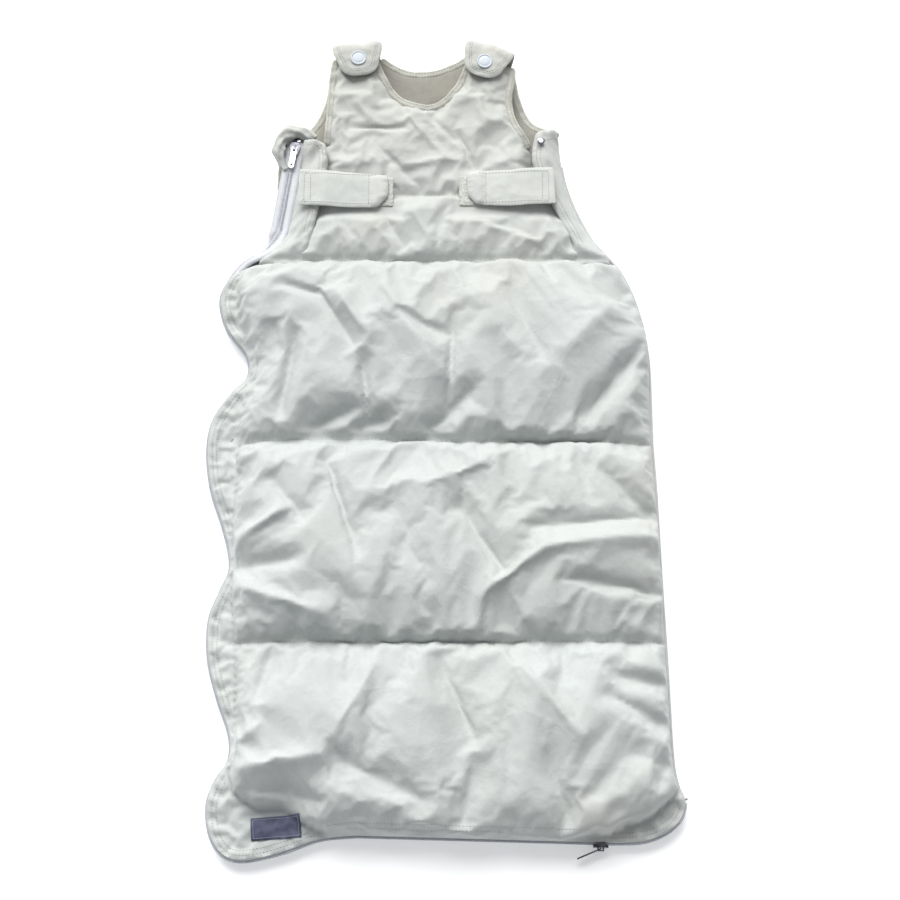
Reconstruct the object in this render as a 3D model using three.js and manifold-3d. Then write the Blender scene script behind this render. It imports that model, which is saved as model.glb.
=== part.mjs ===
// A padded baby sleeping bag lying flat on its back: quilted front and back, side-and-foot zip,
// shoulder tabs with press studs and hook-and-loop side straps. Millimetres, +X to the bag's right
// edge as seen from above, +Y towards the shoulders, +Z up from the surface that it lies on.
import * as THREE from "three";
import { mergeVertices } from "three/addons/utils/BufferGeometryUtils.js";
import Module from "manifold-3d";

const wasm = await Module();
wasm.setup();

// ---------------------------------------------------------------- driving dimensions
const GAP = 0.3; // between pieces that touch
const CLOTH = 1.2; // thickness of a fabric layer
const BACK = { outer: 0, wadding: 1.5, lining: 9.3 }; // lower face of each back layer
const BACK_TOP = BACK.lining + CLOTH;
const BIB = { lining: 17.5, wadding: 19, outer: 27.3, top: 28.8 };
const LOWER = { lining: 18.8, wadding: 20.3, hem: 14, seam: 28 }; // the quilted lower front
const CROWNS = [55, 58, 56]; // crown heights of the three large chambers, head to foot
const SEAMS = [158, -20, -205]; // quilting seams across the lower front
const WAIST_SEAM = 227; // seam between the bib and the waist chamber
const WAIST_CROWN = 32;
const FOOT = -356.5; // where the padding starts at the foot
const EDGE_INSET = 3.5; // from the zip's middle to the edge of the panels
const PUFF_LEFT = -172; // where the padding starts beside the flat left hem

// Fold line of the opened foot corner, and the hinge height above it.
const FOLD_START = new THREE.Vector2(-199, 150);
const FOLD_END = new THREE.Vector2(112, -374);
const FOLD_Z = 52;
const FOLD_SLOPE = THREE.MathUtils.degToRad(15); // each side of the groove above the hinge

// The zip: top end, end of the straight upper run, straight foot run and chain height.
const ZIP_TOP = [-140, 290];
const ZIP_UPPER_END = [-154, 194];
const ZIP_FOOT_START = [-70, -371];
const ZIP_FOOT_END = [150, -377];
const ZIP_UPPER_Z = 15;
const ZIP_EDGE_Z = 9;
const COIL = { gap: 0.6, width: 2.1, half: 1.1 }; // half the gap, row width, half thickness
const TAPE = { half: 0.4, front: 8, back: 5.2 };
const SLIDER = { length: 13, width: 9.6, below: 2.4, above: 3.1 };
const PULLER = { length: 22, width: 5.6, thick: 1.2 };

const TAB = { width: 48, length: 38, corner: 14, bottom: 32.5, top: 36, wall: 3, axisZ: 18.5 };
const TAB_SIDES = [
  { side: "left", x: -82, y: 387, turn: 7, stud: 17 },
  { side: "right", x: 49, y: 384.5, turn: -19, stud: 19 },
];
const STRAP = { seam: 134, end: 52, width: 38, thick: 2, high: 38.6, low: 34.2 };

// ---------------------------------------------------------------- outlines
const vectors = (list) => list.map(([x, y]) => new THREE.Vector2(x, y));
const spline = (list, divisions) =>
  new THREE.SplineCurve(vectors(list)).getPoints((list.length - 1) * divisions);

// The zip's wavy run down the left side: it stands out at each quilting seam.
const ZIP_LEFT = [
  ZIP_UPPER_END, [-166, 178], [-186, 166], [-201, 146], [-208, 124], [-200, 95], [-182, 70],
  [-179, 50], [-195, 31], [-210, 6], [-214, -23], [-209, -61], [-196, -99], [-189, -132],
  [-197, -155], [-206, -182], [-205, -218], [-195, -254], [-184, -284], [-184, -306],
  [-194, -322], [-201, -343], [-198, -368], [-187, -386], [-168, -392], [-134, -385],
  [-102, -374], ZIP_FOOT_START,
];
const ZIP_CORNER = [ZIP_FOOT_END, [174, -376], [194, -369], [208, -357], [213, -342]];
const RIGHT_EDGE = [
  [213, -342], [206, -315], [204, -271], [203, -218], [201, -150], [199, -61], [197, -13],
  [197, 55], [193, 95], [184, 130], [171, 158], [150, 183], [139, 203], [129, 226], [121, 254],
  [118, 283], [116, 304],
];
const BACK_ARMHOLE_RIGHT = [[116, 304], [100, 307], [87, 315], [77, 338], [73, 358], [71, 373.5]];
const BACK_NECK = [[26.6, 388.4], [15, 380], [-6, 371], [-28, 370], [-46, 377], [-58, 386.7]];
const BACK_ARMHOLE_LEFT = [[-105, 381], [-108, 358], [-113, 333], [-123, 311], [-138, 299]];
const BACK_LEFT = [[-138, 299], [-153, 292], [-158, 262], [-158, 235], [-157, 212], [-152, 197]];

const FRONT_NECK = [[28, 378], [17, 349], [3, 331], [-17, 324], [-40, 334], [-55, 356], [-64, 381]];
const FRONT_ARMHOLE_LEFT = [[-105, 375], [-108, 345], [-109, 319], [-111, 290], [-110, 276]];
const FRONT_ARMHOLE_RIGHT = [[89, 262], [84, 286], [72, 308], [68, 330], [71, 352], [72, 366]];
const WING_EDGE_LEFT = [[-110, 276], [-108, 262], [-110, 240], [-116, 212], [-122, 184], [-131, 160]];
const WING_EDGE_RIGHT = [[126, 160], [125, 181], [109, 212], [96, 240], [89, 262]];

// Frames along the zip: position, inward direction in plan, and how far the tape has turned from
// lying flat (0) to standing on edge (1).
function zipFrames() {
  const line = (a, b, n) =>
    Array.from({ length: n + 1 }, (_, i) =>
      new THREE.Vector2(...a).lerp(new THREE.Vector2(...b), i / n),
    );
  const plan = [
    ...line(ZIP_TOP, ZIP_UPPER_END, 2),
    ...spline(ZIP_LEFT, 2).slice(1),
    ...line(ZIP_FOOT_START, ZIP_FOOT_END, 4).slice(1),
    ...spline(ZIP_CORNER, 2).slice(1),
  ];
  const twistEnd = ZIP_UPPER_END[1] - 30;
  return plan.map((p, i) => {
    const tangent = plan[Math.min(i + 1, plan.length - 1)].clone().sub(plan[Math.max(i - 1, 0)]);
    tangent.normalize();
    const turned =
      i < 3 ? 0 : THREE.MathUtils.smoothstep(-p.y, -ZIP_UPPER_END[1], -twistEnd);
    const z = THREE.MathUtils.lerp(ZIP_UPPER_Z, ZIP_EDGE_Z, turned);
    return { p, inward: new THREE.Vector2(-tangent.y, tangent.x), turned, z };
  });
}
const ZIP = zipFrames();
const zipUpperCount = 3; // the straight, flat frames at the top
const INNER_EDGE = ZIP.slice(zipUpperCount + 1).map(({ p, inward }) =>
  p.clone().addScaledVector(inward, EDGE_INSET),
);

// The x of a line of points at a height y.
function crossing(line, y) {
  for (let i = 1; i < line.length; i++) {
    const [a, b] = [line[i - 1], line[i]];
    if ((a.y - y) * (b.y - y) <= 0 && a.y !== b.y)
      return a.x + ((b.x - a.x) * (y - a.y)) / (b.y - a.y);
  }
  const nearest = Math.abs(line[0].y - y) < Math.abs(line.at(-1).y - y) ? line[0] : line.at(-1);
  return nearest.x;
}
const RIGHT_LINE = spline(RIGHT_EDGE, 2);
const leftEdge = (y) => crossing(INNER_EDGE, y);
const rightEdge = (y) => crossing(RIGHT_LINE, y) - EDGE_INSET;

// ---------------------------------------------------------------- solid builders
function closed(positions, faces) {
  const g = new THREE.BufferGeometry();
  g.setAttribute("position", new THREE.Float32BufferAttribute(positions, 3));
  g.setIndex(faces);
  return g;
}

function slab(outline, bottom, top, holes = []) {
  const shape = new THREE.Shape(outline);
  for (const { x, y, r } of holes) {
    const hole = new THREE.Path();
    hole.absarc(x, y, r, 0, Math.PI * 2, true);
    shape.holes.push(hole);
  }
  const g = new THREE.ExtrudeGeometry(shape, {
    depth: top - bottom, bevelEnabled: false, curveSegments: 5,
  });
  return g.translate(0, 0, bottom);
}

const box = (x0, x1, y0, y1, z0, z1) =>
  new THREE.BoxGeometry(x1 - x0, y1 - y0, z1 - z0).translate(
    (x0 + x1) / 2, (y0 + y1) / 2, (z0 + z1) / 2,
  );

// A padded sheet over a grid of [x, y] points, rows from foot to head.
function quilt(grid, top, bottom) {
  const rows = grid.length;
  const cols = grid[0].length;
  const positions = [];
  for (const height of [top, bottom])
    for (const row of grid) for (const [x, y] of row) positions.push(x, y, height(x, y));
  const at = (layer, r, c) => (layer * rows + r) * cols + c;
  const faces = [];
  const quad = (a, b, c, d) => faces.push(a, b, c, a, c, d);
  for (let r = 0; r + 1 < rows; r++)
    for (let c = 0; c + 1 < cols; c++) {
      quad(at(0, r, c), at(0, r, c + 1), at(0, r + 1, c + 1), at(0, r + 1, c));
      quad(at(1, r, c), at(1, r + 1, c), at(1, r + 1, c + 1), at(1, r, c + 1));
    }
  const rim = [];
  for (let c = 0; c < cols - 1; c++) rim.push([0, c]);
  for (let r = 0; r < rows - 1; r++) rim.push([r, cols - 1]);
  for (let c = cols - 1; c > 0; c--) rim.push([rows - 1, c]);
  for (let r = rows - 1; r > 0; r--) rim.push([r, 0]);
  rim.forEach(([r, c], i) => {
    const [r2, c2] = rim[(i + 1) % rim.length];
    quad(at(1, r, c), at(1, r2, c2), at(0, r2, c2), at(0, r, c));
  });
  return closed(positions, faces);
}

// A strip whose section is a list of [across, out] points, run through zip-like frames. Opposite
// faces are split along parallel diagonals, so a thin strip keeps its thickness where it twists.
function strip(frames, section) {
  const positions = [];
  for (const { p, inward, turned, z } of frames) {
    const angle = (turned * Math.PI) / 2;
    const [c, s] = [Math.cos(angle), Math.sin(angle)];
    for (const [across, out] of section) {
      const inPlan = across * c - out * s;
      positions.push(p.x + inward.x * inPlan, p.y + inward.y * inPlan, z + across * s + out * c);
    }
  }
  const n = section.length;
  const faces = [];
  for (let i = 0; i + 1 < frames.length; i++)
    for (let k = 0; k < n; k++) {
      const [a, b] = [i * n + k, i * n + ((k + 1) % n)];
      if (k < n / 2) faces.push(a, b, b + n, a, b + n, a + n);
      else faces.push(a, b, a + n, b, b + n, a + n);
    }
  const last = (frames.length - 1) * n;
  for (let k = 1; k + 1 < n; k++) {
    faces.push(0, k + 1, k);
    faces.push(last, last + k, last + k + 1);
  }
  return closed(positions, faces);
}
const rectangle = (a0, a1, o0, o1) => [[a0, o0], [a1, o0], [a1, o1], [a0, o1]];

// Level frames along a plain line, for bindings and the side seam.
const levelFrames = (line, z) =>
  line.map((p, i) => {
    const t = line[Math.min(i + 1, line.length - 1)].clone().sub(line[Math.max(i - 1, 0)]);
    t.normalize();
    return { p, inward: new THREE.Vector2(-t.y, t.x), turned: 0, z };
  });

// ---------------------------------------------------------------- booleans
function solid(geometry) {
  let g = geometry.clone();
  g.deleteAttribute("normal");
  g.deleteAttribute("uv");
  g = mergeVertices(g, 1e-4);
  return new wasm.Manifold(
    new wasm.Mesh({
      numProp: 3,
      vertProperties: new Float32Array(g.attributes.position.array),
      triVerts: new Uint32Array(g.index.array),
    }),
  );
}
function geometryOf(manifold) {
  const m = manifold.getMesh();
  return closed(Array.from(m.vertProperties), Array.from(m.triVerts));
}
const cut = (geometry, ...tools) =>
  geometryOf(tools.reduce((left, tool) => left.subtract(solid(tool)), solid(geometry)));
const joined = (...parts) =>
  geometryOf(parts.slice(1).reduce((whole, part) => whole.add(solid(part)), solid(parts[0])));

// One side of the fold line: everything beyond the line and above the groove's slope is cut away.
function sideOfFold(geometry, flapSide) {
  const along = FOLD_END.clone().sub(FOLD_START).normalize();
  const reach = 1200; // well past the bag on every side
  const groove = FOLD_Z - 1;
  const far = [reach * Math.cos(FOLD_SLOPE), groove + reach * Math.sin(FOLD_SLOPE)];
  const profile = new THREE.Shape(vectors([[GAP, -50], [GAP, groove], far, [reach, -50]]));
  const keep = new THREE.ExtrudeGeometry(profile, { depth: 2 * reach, bevelEnabled: false });
  keep.translate(0, 0, -reach);
  // The profile's x runs away from the fold on the kept side, its y up and its depth along the fold.
  const away = flapSide
    ? new THREE.Vector3(along.y, -along.x, 0)
    : new THREE.Vector3(-along.y, along.x, 0);
  const up = new THREE.Vector3(0, 0, 1);
  const depth = new THREE.Vector3().crossVectors(away, up);
  const place = new THREE.Matrix4().makeBasis(away, up, depth);
  place.setPosition(FOLD_START.x, FOLD_START.y, 0);
  return geometryOf(solid(geometry).intersect(solid(keep.applyMatrix4(place))));
}

// ---------------------------------------------------------------- materials and nodes
const material = (color, roughness, metalness = 0) =>
  new THREE.MeshStandardMaterial({ color, roughness, metalness });
const COTTON = material(0xdfe3e0, 0.85);
const LINING = material(0xd6d2c6, 0.9);
const WADDING = material(0xf2f2f0, 0.95);
const BINDING = material(0xd9d8cf, 0.85);
const TAPE_CLOTH = material(0xe6e8ee, 0.8);
const COIL_PLASTIC = material(0xc9ccd6, 0.45);
const METAL = material(0xb8bac0, 0.3, 1);
const STUD_PLASTIC = material(0xe4e9f2, 0.25);
const HOOK_LOOP = material(0xdadbd2, 0.95);
const LABEL_CLOTH = material(0x7c80a6, 0.7);

const bag = new THREE.Group();
function node(name, geometry, itsMaterial, place = new THREE.Matrix4()) {
  const mesh = new THREE.Mesh(geometry, itsMaterial);
  mesh.name = name;
  mesh.applyMatrix4(place);
  bag.add(mesh);
}

// ---------------------------------------------------------------- back panel
const backOutline = [
  ...INNER_EDGE,
  ...RIGHT_LINE.map((p) => new THREE.Vector2(p.x - EDGE_INSET, p.y)).slice(1, -1),
  ...spline(BACK_ARMHOLE_RIGHT, 2),
  ...spline(BACK_NECK, 2),
  ...spline(BACK_ARMHOLE_LEFT, 2),
  ...spline(BACK_LEFT, 2).slice(1),
];
node("back_outer", slab(backOutline, BACK.outer, BACK.outer + CLOTH), COTTON);
node("back_wadding", slab(backOutline, BACK.wadding, BACK.lining - GAP), WADDING);
node("back_lining", slab(backOutline, BACK.lining, BACK_TOP), LINING);

// ---------------------------------------------------------------- quilted lower front
const clamp01 = (v) => THREE.MathUtils.clamp(v, 0, 1);

// Height of the front's outer face: chambers that crown between the seams and fall to the hem.
function frontTop(x, y) {
  const [l, r] = [PUFF_LEFT, rightEdge(y)];
  const u = clamp01((x - l) / (r - l));
  const edge = (1 - Math.abs(2 * u - 1) ** 40) * clamp01((y - FOOT) / 12);
  const bounds = [...SEAMS, FOOT];
  const chamber = y > SEAMS[1] ? 0 : y > SEAMS[2] ? 1 : 2;
  const v = clamp01((y - bounds[chamber + 1]) / (bounds[chamber] - bounds[chamber + 1]));
  const arch = (4 * v * (1 - v)) ** 0.6 * (1 - Math.abs(2 * u - 1) ** 4);
  return LOWER.hem + (LOWER.seam - LOWER.hem) * edge + (CROWNS[chamber] - LOWER.seam) * arch;
}

const chamberRows = (low, high) => [low, low + 12, low + 40, (low + high) / 2, high - 40, high - 12];
const FRONT_ROWS = [
  ...chamberRows(FOOT, SEAMS[2]), ...chamberRows(SEAMS[2], SEAMS[1]),
  ...chamberRows(SEAMS[1], SEAMS[0]), SEAMS[0],
];
function puffColumns(y) {
  const [l, r] = [PUFF_LEFT, rightEdge(y)];
  const inner = [0.15, 0.3, 0.5, 0.7, 0.85].map((share) => l + share * (r - l));
  return [l + 8, ...inner, r - 8];
}
const outerGrid = [-400, ...FRONT_ROWS].map((y) =>
  [-230, PUFF_LEFT, ...puffColumns(y), 230].map((x) => [x, y]),
);
const waddingGrid = FRONT_ROWS.slice(1).map((y) => puffColumns(y).map((x) => [x, y]));

// The lower front reaches as far as the zip on the left and at the foot, and the seam on the right.
const lowerOutline = [
  ...INNER_EDGE,
  ...RIGHT_LINE.filter((p) => p.y < SEAMS[0]).slice(1)
    .map((p) => new THREE.Vector2(p.x - EDGE_INSET, p.y)),
  new THREE.Vector2(rightEdge(SEAMS[0]), SEAMS[0] + 1),
  new THREE.Vector2(leftEdge(SEAMS[0]), SEAMS[0] + 1),
].filter((p) => p.y < SEAMS[0] + 2);
const frontOuter = geometryOf(
  solid(quilt(outerGrid, frontTop, (x, y) => frontTop(x, y) - CLOTH))
    .intersect(solid(slab(lowerOutline, 0, 90))),
);
const frontWadding = quilt(
  waddingGrid, (x, y) => frontTop(x, y) - CLOTH - GAP, () => LOWER.wadding,
);
const liningOutline = vectors([
  ...waddingGrid.map((row) => row.at(-1)),
  ...waddingGrid.map((row) => row[0]).reverse(),
]);
const frontLining = slab(liningOutline, LOWER.lining, LOWER.lining + CLOTH);
for (const [part, geometry, cloth] of [
  ["outer", frontOuter, COTTON], ["wadding", frontWadding, WADDING], ["lining", frontLining, LINING],
]) {
  node(`front_${part}`, sideOfFold(geometry, false), cloth);
  node(`foot_corner_${part}`, sideOfFold(geometry, true), cloth);
}
node(
  "label", box(-21, 21, -8.5, 8.5, 0, 0.6), LABEL_CLOTH,
  new THREE.Matrix4().makeRotationZ(0.06).setPosition(-142, -366.5, LOWER.hem + GAP),
);

// ---------------------------------------------------------------- waist chamber, bib and side panels
const wingLeft = spline(WING_EDGE_LEFT, 2);
const wingRight = spline(WING_EDGE_RIGHT, 2);
const waistRows = [SEAMS[0] + 2, 168, 182, 203, 217, WAIST_SEAM - 0.5];
const waistGrid = waistRows.map((y) => {
  const [l, r] = [crossing(wingLeft, y) + 1, crossing(wingRight, y) - 1];
  return [0, 0.06, 0.2, 0.4, 0.6, 0.8, 0.94, 1].map((share) => [l + share * (r - l), y]);
});
function waistTop(x, y) {
  const v = clamp01((y - waistRows[0]) / (waistRows.at(-1) - waistRows[0]));
  return LOWER.seam + (WAIST_CROWN - LOWER.seam) * (4 * v * (1 - v)) ** 0.6;
}
node("waist_outer", quilt(waistGrid, waistTop, (x, y) => waistTop(x, y) - CLOTH), COTTON);
node(
  "waist_wadding",
  quilt(waistGrid, (x, y) => waistTop(x, y) - CLOTH - GAP, () => LOWER.wadding), WADDING,
);

const bibOutline = [
  ...spline(FRONT_ARMHOLE_LEFT, 2),
  ...wingLeft.filter((p) => p.y > WAIST_SEAM && p.y < 275).map((p) => new THREE.Vector2(p.x + 1, p.y)),
  new THREE.Vector2(crossing(wingLeft, WAIST_SEAM) + 1, WAIST_SEAM + 0.5),
  new THREE.Vector2(crossing(wingRight, WAIST_SEAM) - 1, WAIST_SEAM + 0.5),
  ...wingRight.filter((p) => p.y > WAIST_SEAM && p.y < 261).map((p) => new THREE.Vector2(p.x - 1, p.y)),
  ...spline(FRONT_ARMHOLE_RIGHT, 2),
  ...spline(FRONT_NECK, 2),
];
const studs = TAB_SIDES.map(({ x, y, turn, stud }) => {
  const a = THREE.MathUtils.degToRad(turn);
  return { x: x + stud * Math.sin(a), y: y - stud * Math.cos(a), r: 2.1 };
});
node("bib_lining", slab(bibOutline, BIB.lining, BIB.lining + CLOTH, studs), LINING);
node("bib_wadding", slab(bibOutline, BIB.wadding, BIB.outer - GAP, studs), WADDING);
node("bib_outer", slab(bibOutline, BIB.outer, BIB.top, studs), COTTON);
const waistLiningOutline = vectors([
  ...waistGrid.map((row) => row.at(-1)), ...waistGrid.map((row) => row[0]).reverse(),
]);
node("waist_lining", slab(waistLiningOutline, LOWER.lining, LOWER.lining + CLOTH), LINING);

const leftPanelOutline = [
  ...wingLeft,
  ...vectors([[-150, 160], [-146, 200], [-139, 240], [-133.5, 270], [-132, 282], [-116, 283]]),
];
const rightPanelOutline = [
  ...wingRight.slice().reverse(),
  ...vectors([[166, 160], [148, 181], [136, 203], [126, 226], [118, 254], [115, 284], [112, 296]]),
  new THREE.Vector2(93, 291),
];
const PANEL = { bottom: 17.5, top: 38 };
node("side_panel_left", slab(leftPanelOutline, PANEL.bottom, PANEL.top), COTTON);
node("side_panel_right", slab(rightPanelOutline, PANEL.bottom, PANEL.top), COTTON);

// ---------------------------------------------------------------- bindings and side seam
const BIND = 2.4; // how far a binding stands out from the edge that it covers
const FRONT_BINDING = { bottom: BIB.lining, top: BIB.top + 0.6 };
const BACK_BINDING = { bottom: 0.6, top: BACK_TOP + 0.6 };
const binding = (name, line, { bottom, top }) =>
  node(name, strip(levelFrames(line, 0), rectangle(-BIND, -GAP, bottom, top)), BINDING);
binding("neck_binding_front", spline(FRONT_NECK, 2), FRONT_BINDING);
binding("neck_binding_back", spline(BACK_NECK, 2), BACK_BINDING);
binding("armhole_binding_left_front", spline(FRONT_ARMHOLE_LEFT, 2).slice(0, -2), FRONT_BINDING);
binding("armhole_binding_right_front", spline(FRONT_ARMHOLE_RIGHT, 2).slice(2), FRONT_BINDING);
binding("armhole_binding_left_back", spline(BACK_ARMHOLE_LEFT, 2), BACK_BINDING);
binding("armhole_binding_right_back", spline(BACK_ARMHOLE_RIGHT, 2), BACK_BINDING);
const seamLine = RIGHT_LINE.slice(2, -3);
node("side_seam", strip(levelFrames(seamLine, 0), rectangle(-1.6, 1, 2, 17)), BINDING);

// ---------------------------------------------------------------- zip
const coilSection = (side) => rectangle(
  ...(side > 0 ? [COIL.gap, COIL.gap + COIL.width] : [-COIL.gap - COIL.width, -COIL.gap]),
  -COIL.half, COIL.half,
);
const tapeStart = COIL.gap + COIL.width + GAP;
const FRONT_TAPE = rectangle(tapeStart, tapeStart + TAPE.front, -TAPE.half, TAPE.half);
const BACK_TAPE = rectangle(-tapeStart - TAPE.back, -tapeStart, -TAPE.half, TAPE.half);
node("zip_tape_back", strip(ZIP, BACK_TAPE), TAPE_CLOTH);
node("zip_coil_back", strip(ZIP, coilSection(-1)), COIL_PLASTIC);

// The front half of the chain is in three runs: the middle one goes with the foot corner.
const FOLD_MARGIN = 1.5; // how far each run stops short of the fold line
const beyondFold = (p) => {
  const along = FOLD_END.clone().sub(FOLD_START).normalize();
  return p.clone().sub(FOLD_START).cross(along);
};
function frameBetween(a, b, offset) {
  const [da, db] = [beyondFold(a.p), beyondFold(b.p)];
  const share = da / (da - db) + offset / a.p.distanceTo(b.p);
  const mix = THREE.MathUtils.lerp;
  return {
    p: a.p.clone().lerp(b.p, share), inward: a.inward.clone().lerp(b.inward, share).normalize(),
    turned: mix(a.turned, b.turned, share), z: mix(a.z, b.z, share),
  };
}
const foldIn = ZIP.findIndex(({ p }) => beyondFold(p) > 0);
const foldOut = ZIP.findLastIndex(({ p }) => beyondFold(p) > 0);
const crossIn = (offset) => frameBetween(ZIP[foldIn - 1], ZIP[foldIn], offset);
const crossOut = (offset) => frameBetween(ZIP[foldOut], ZIP[foldOut + 1], offset);
const FRONT_RUNS = {
  upper: [...ZIP.slice(0, foldIn), crossIn(-FOLD_MARGIN)],
  corner: [crossIn(FOLD_MARGIN), ...ZIP.slice(foldIn, foldOut + 1), crossOut(-FOLD_MARGIN)],
  foot: [crossOut(FOLD_MARGIN), ...ZIP.slice(foldOut + 1)],
};
for (const [part, frames] of Object.entries(FRONT_RUNS)) {
  node(`zip_tape_front_${part}`, strip(frames, FRONT_TAPE), TAPE_CLOTH);
  node(`zip_coil_front_${part}`, strip(frames, coilSection(1)), COIL_PLASTIC);
}

// Local frame of a slider: x across the chain, y along it towards the nose, z out of the tape.
const sliderPlace = (x, y, z, across, nose) => {
  const out = new THREE.Vector3().crossVectors(across, nose);
  return new THREE.Matrix4().makeBasis(across, nose, out).setPosition(x, y, z);
};
function sliderBody() {
  const half = SLIDER.width / 2;
  const end = SLIDER.length / 2;
  const reach = end + 1;
  const outline = vectors([[-half, 0.5], [-half, 3.5], [-2.6, end], [2.6, end], [half, 3.5], [half, 0.5],
    [3.6, -end], [-3.6, -end]]);
  const chain = COIL.gap + COIL.width + GAP + 0.1;
  const shell = cut(
    slab(outline, -SLIDER.below, SLIDER.above),
    box(-chain, chain, -reach, reach, -COIL.half - GAP, COIL.half + GAP),
    box(-9, 9, -reach, reach, -TAPE.half - GAP, TAPE.half + GAP),
  );
  const post = box(-0.3, 0.3, 1.5, 4.5, -SLIDER.below + 0.5, SLIDER.above - 0.5);
  const bail = cut(
    box(-0.9, 0.9, -2.9, 2.9, SLIDER.above - 0.5, SLIDER.above + 2.9),
    box(-2, 2, -1.6, 1.6, SLIDER.above, SLIDER.above + 1.9),
  );
  return joined(shell, post, bail);
}
// The puller lies along -y from its pin, which is the local origin.
function pullerBody() {
  const { length, width, thick } = PULLER;
  const half = width / 2;
  const shape = new THREE.Shape(
    vectors([[-2.6, 0.6], [-2.6, -4], [-half, -6], [-half, 2 - length], [2 - half, -length],
      [half - 2, -length], [half, 2 - length], [half, -6], [2.6, -4], [2.6, 0.6]]),
  );
  const slot = (w, low, high) => new THREE.Path(vectors([[-w, low], [w, low], [w, high], [-w, high]]));
  shape.holes.push(slot(1.4, -4.2, -0.6), slot(1.1, 2.5 - length, 4.7 - length));
  const g = new THREE.ExtrudeGeometry(shape, { depth: thick, bevelEnabled: false });
  return g.translate(0, 0, -thick / 2);
}
const PIN_Z = SLIDER.above + 0.95; // the puller's pin above the chain's middle
const upperRun = new THREE.Vector2(...ZIP_TOP).sub(new THREE.Vector2(...ZIP_UPPER_END)).normalize();
const upperNose = new THREE.Vector3(upperRun.x, upperRun.y, 0);
const upperAcross = new THREE.Vector3(upperRun.y, -upperRun.x, 0);
const topSliderAt = new THREE.Vector2(...ZIP_TOP).addScaledVector(upperRun, -8);
const topPlace = sliderPlace(topSliderAt.x, topSliderAt.y, ZIP_UPPER_Z, upperAcross, upperNose);
node("zip_slider_top", sliderBody(), METAL, topPlace);
node(
  "zip_puller_top", pullerBody(), METAL,
  topPlace.clone().multiply(new THREE.Matrix4().makeTranslation(0, 0, PIN_Z)),
);

const footRun = new THREE.Vector2(...ZIP_FOOT_END).sub(new THREE.Vector2(...ZIP_FOOT_START)).normalize();
const footNose = new THREE.Vector3(footRun.x, footRun.y, 0);
const upwards = new THREE.Vector3(0, 0, -1); // makes the slider's out side face the foot
const footSliderAt = new THREE.Vector2(...ZIP_FOOT_END).addScaledVector(footRun, -12);
const footPlace = sliderPlace(footSliderAt.x, footSliderAt.y, ZIP_EDGE_Z, upwards, footNose);
node("zip_slider_foot", sliderBody(), METAL, footPlace);
const PULLER_LIFT = THREE.MathUtils.degToRad(24); // how far the foot puller stands out at rest
node(
  "zip_puller_foot", pullerBody(), METAL,
  footPlace.clone()
    .multiply(new THREE.Matrix4().makeTranslation(0, 0, PIN_Z))
    .multiply(new THREE.Matrix4().makeRotationX(-PULLER_LIFT)),
);
for (const [name, side] of [["zip_stop_top_back", -1], ["zip_stop_top_front", 1]]) {
  const start = COIL.gap * side;
  const end = (COIL.gap + COIL.width + 1) * side;
  node(
    name, box(Math.min(start, end), Math.max(start, end), 0.4, 3, -1.3, 1.3), METAL,
    sliderPlace(...ZIP_TOP, ZIP_UPPER_Z, upperAcross, upperNose),
  );
}
node(
  "zip_stop_foot", box(-2.4, 2.4, -0.8, 1.6, 0, 7), METAL,
  new THREE.Matrix4().makeRotationZ(0.3).setPosition(213.4, -339, 5.5),
);
node(
  "zip_garage",
  slab(vectors([[-131, 302], [-140, 308], [-153, 306], [-163, 296], [-167, 280], [-161, 263],
    [-154, 264], [-152, 280], [-150, 297], [-131, 297]]), BACK_TOP + 1, 28),
  COTTON,
);

// ---------------------------------------------------------------- shoulder tabs and press studs
function tabBody(stud) {
  const { width, length, corner, bottom, top, wall, axisZ } = TAB;
  const half = width / 2;
  const shape = new THREE.Shape();
  shape.moveTo(-half, 0);
  shape.lineTo(-half + 2, corner - length);
  shape.absarc(-half + 2 + corner, corner - length, corner, Math.PI, 1.5 * Math.PI);
  shape.lineTo(half - 2 - corner, -length);
  shape.absarc(half - 2 - corner, corner - length, corner, 1.5 * Math.PI, 2 * Math.PI);
  shape.lineTo(half, 0);
  const hole = new THREE.Path();
  hole.absarc(0, -stud, 2.6, 0, 2 * Math.PI, true);
  shape.holes.push(hole);
  const flat = new THREE.ExtrudeGeometry(shape, {
    depth: top - bottom, bevelEnabled: false, curveSegments: 5,
  }).translate(0, 0, bottom);
  return joined(flat, box(-half, half, -0.5, wall, axisZ + GAP, top));
}
const turnedDisc = (profile, segments = 20) =>
  new THREE.LatheGeometry(vectors(profile), segments).rotateX(Math.PI / 2);

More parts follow.
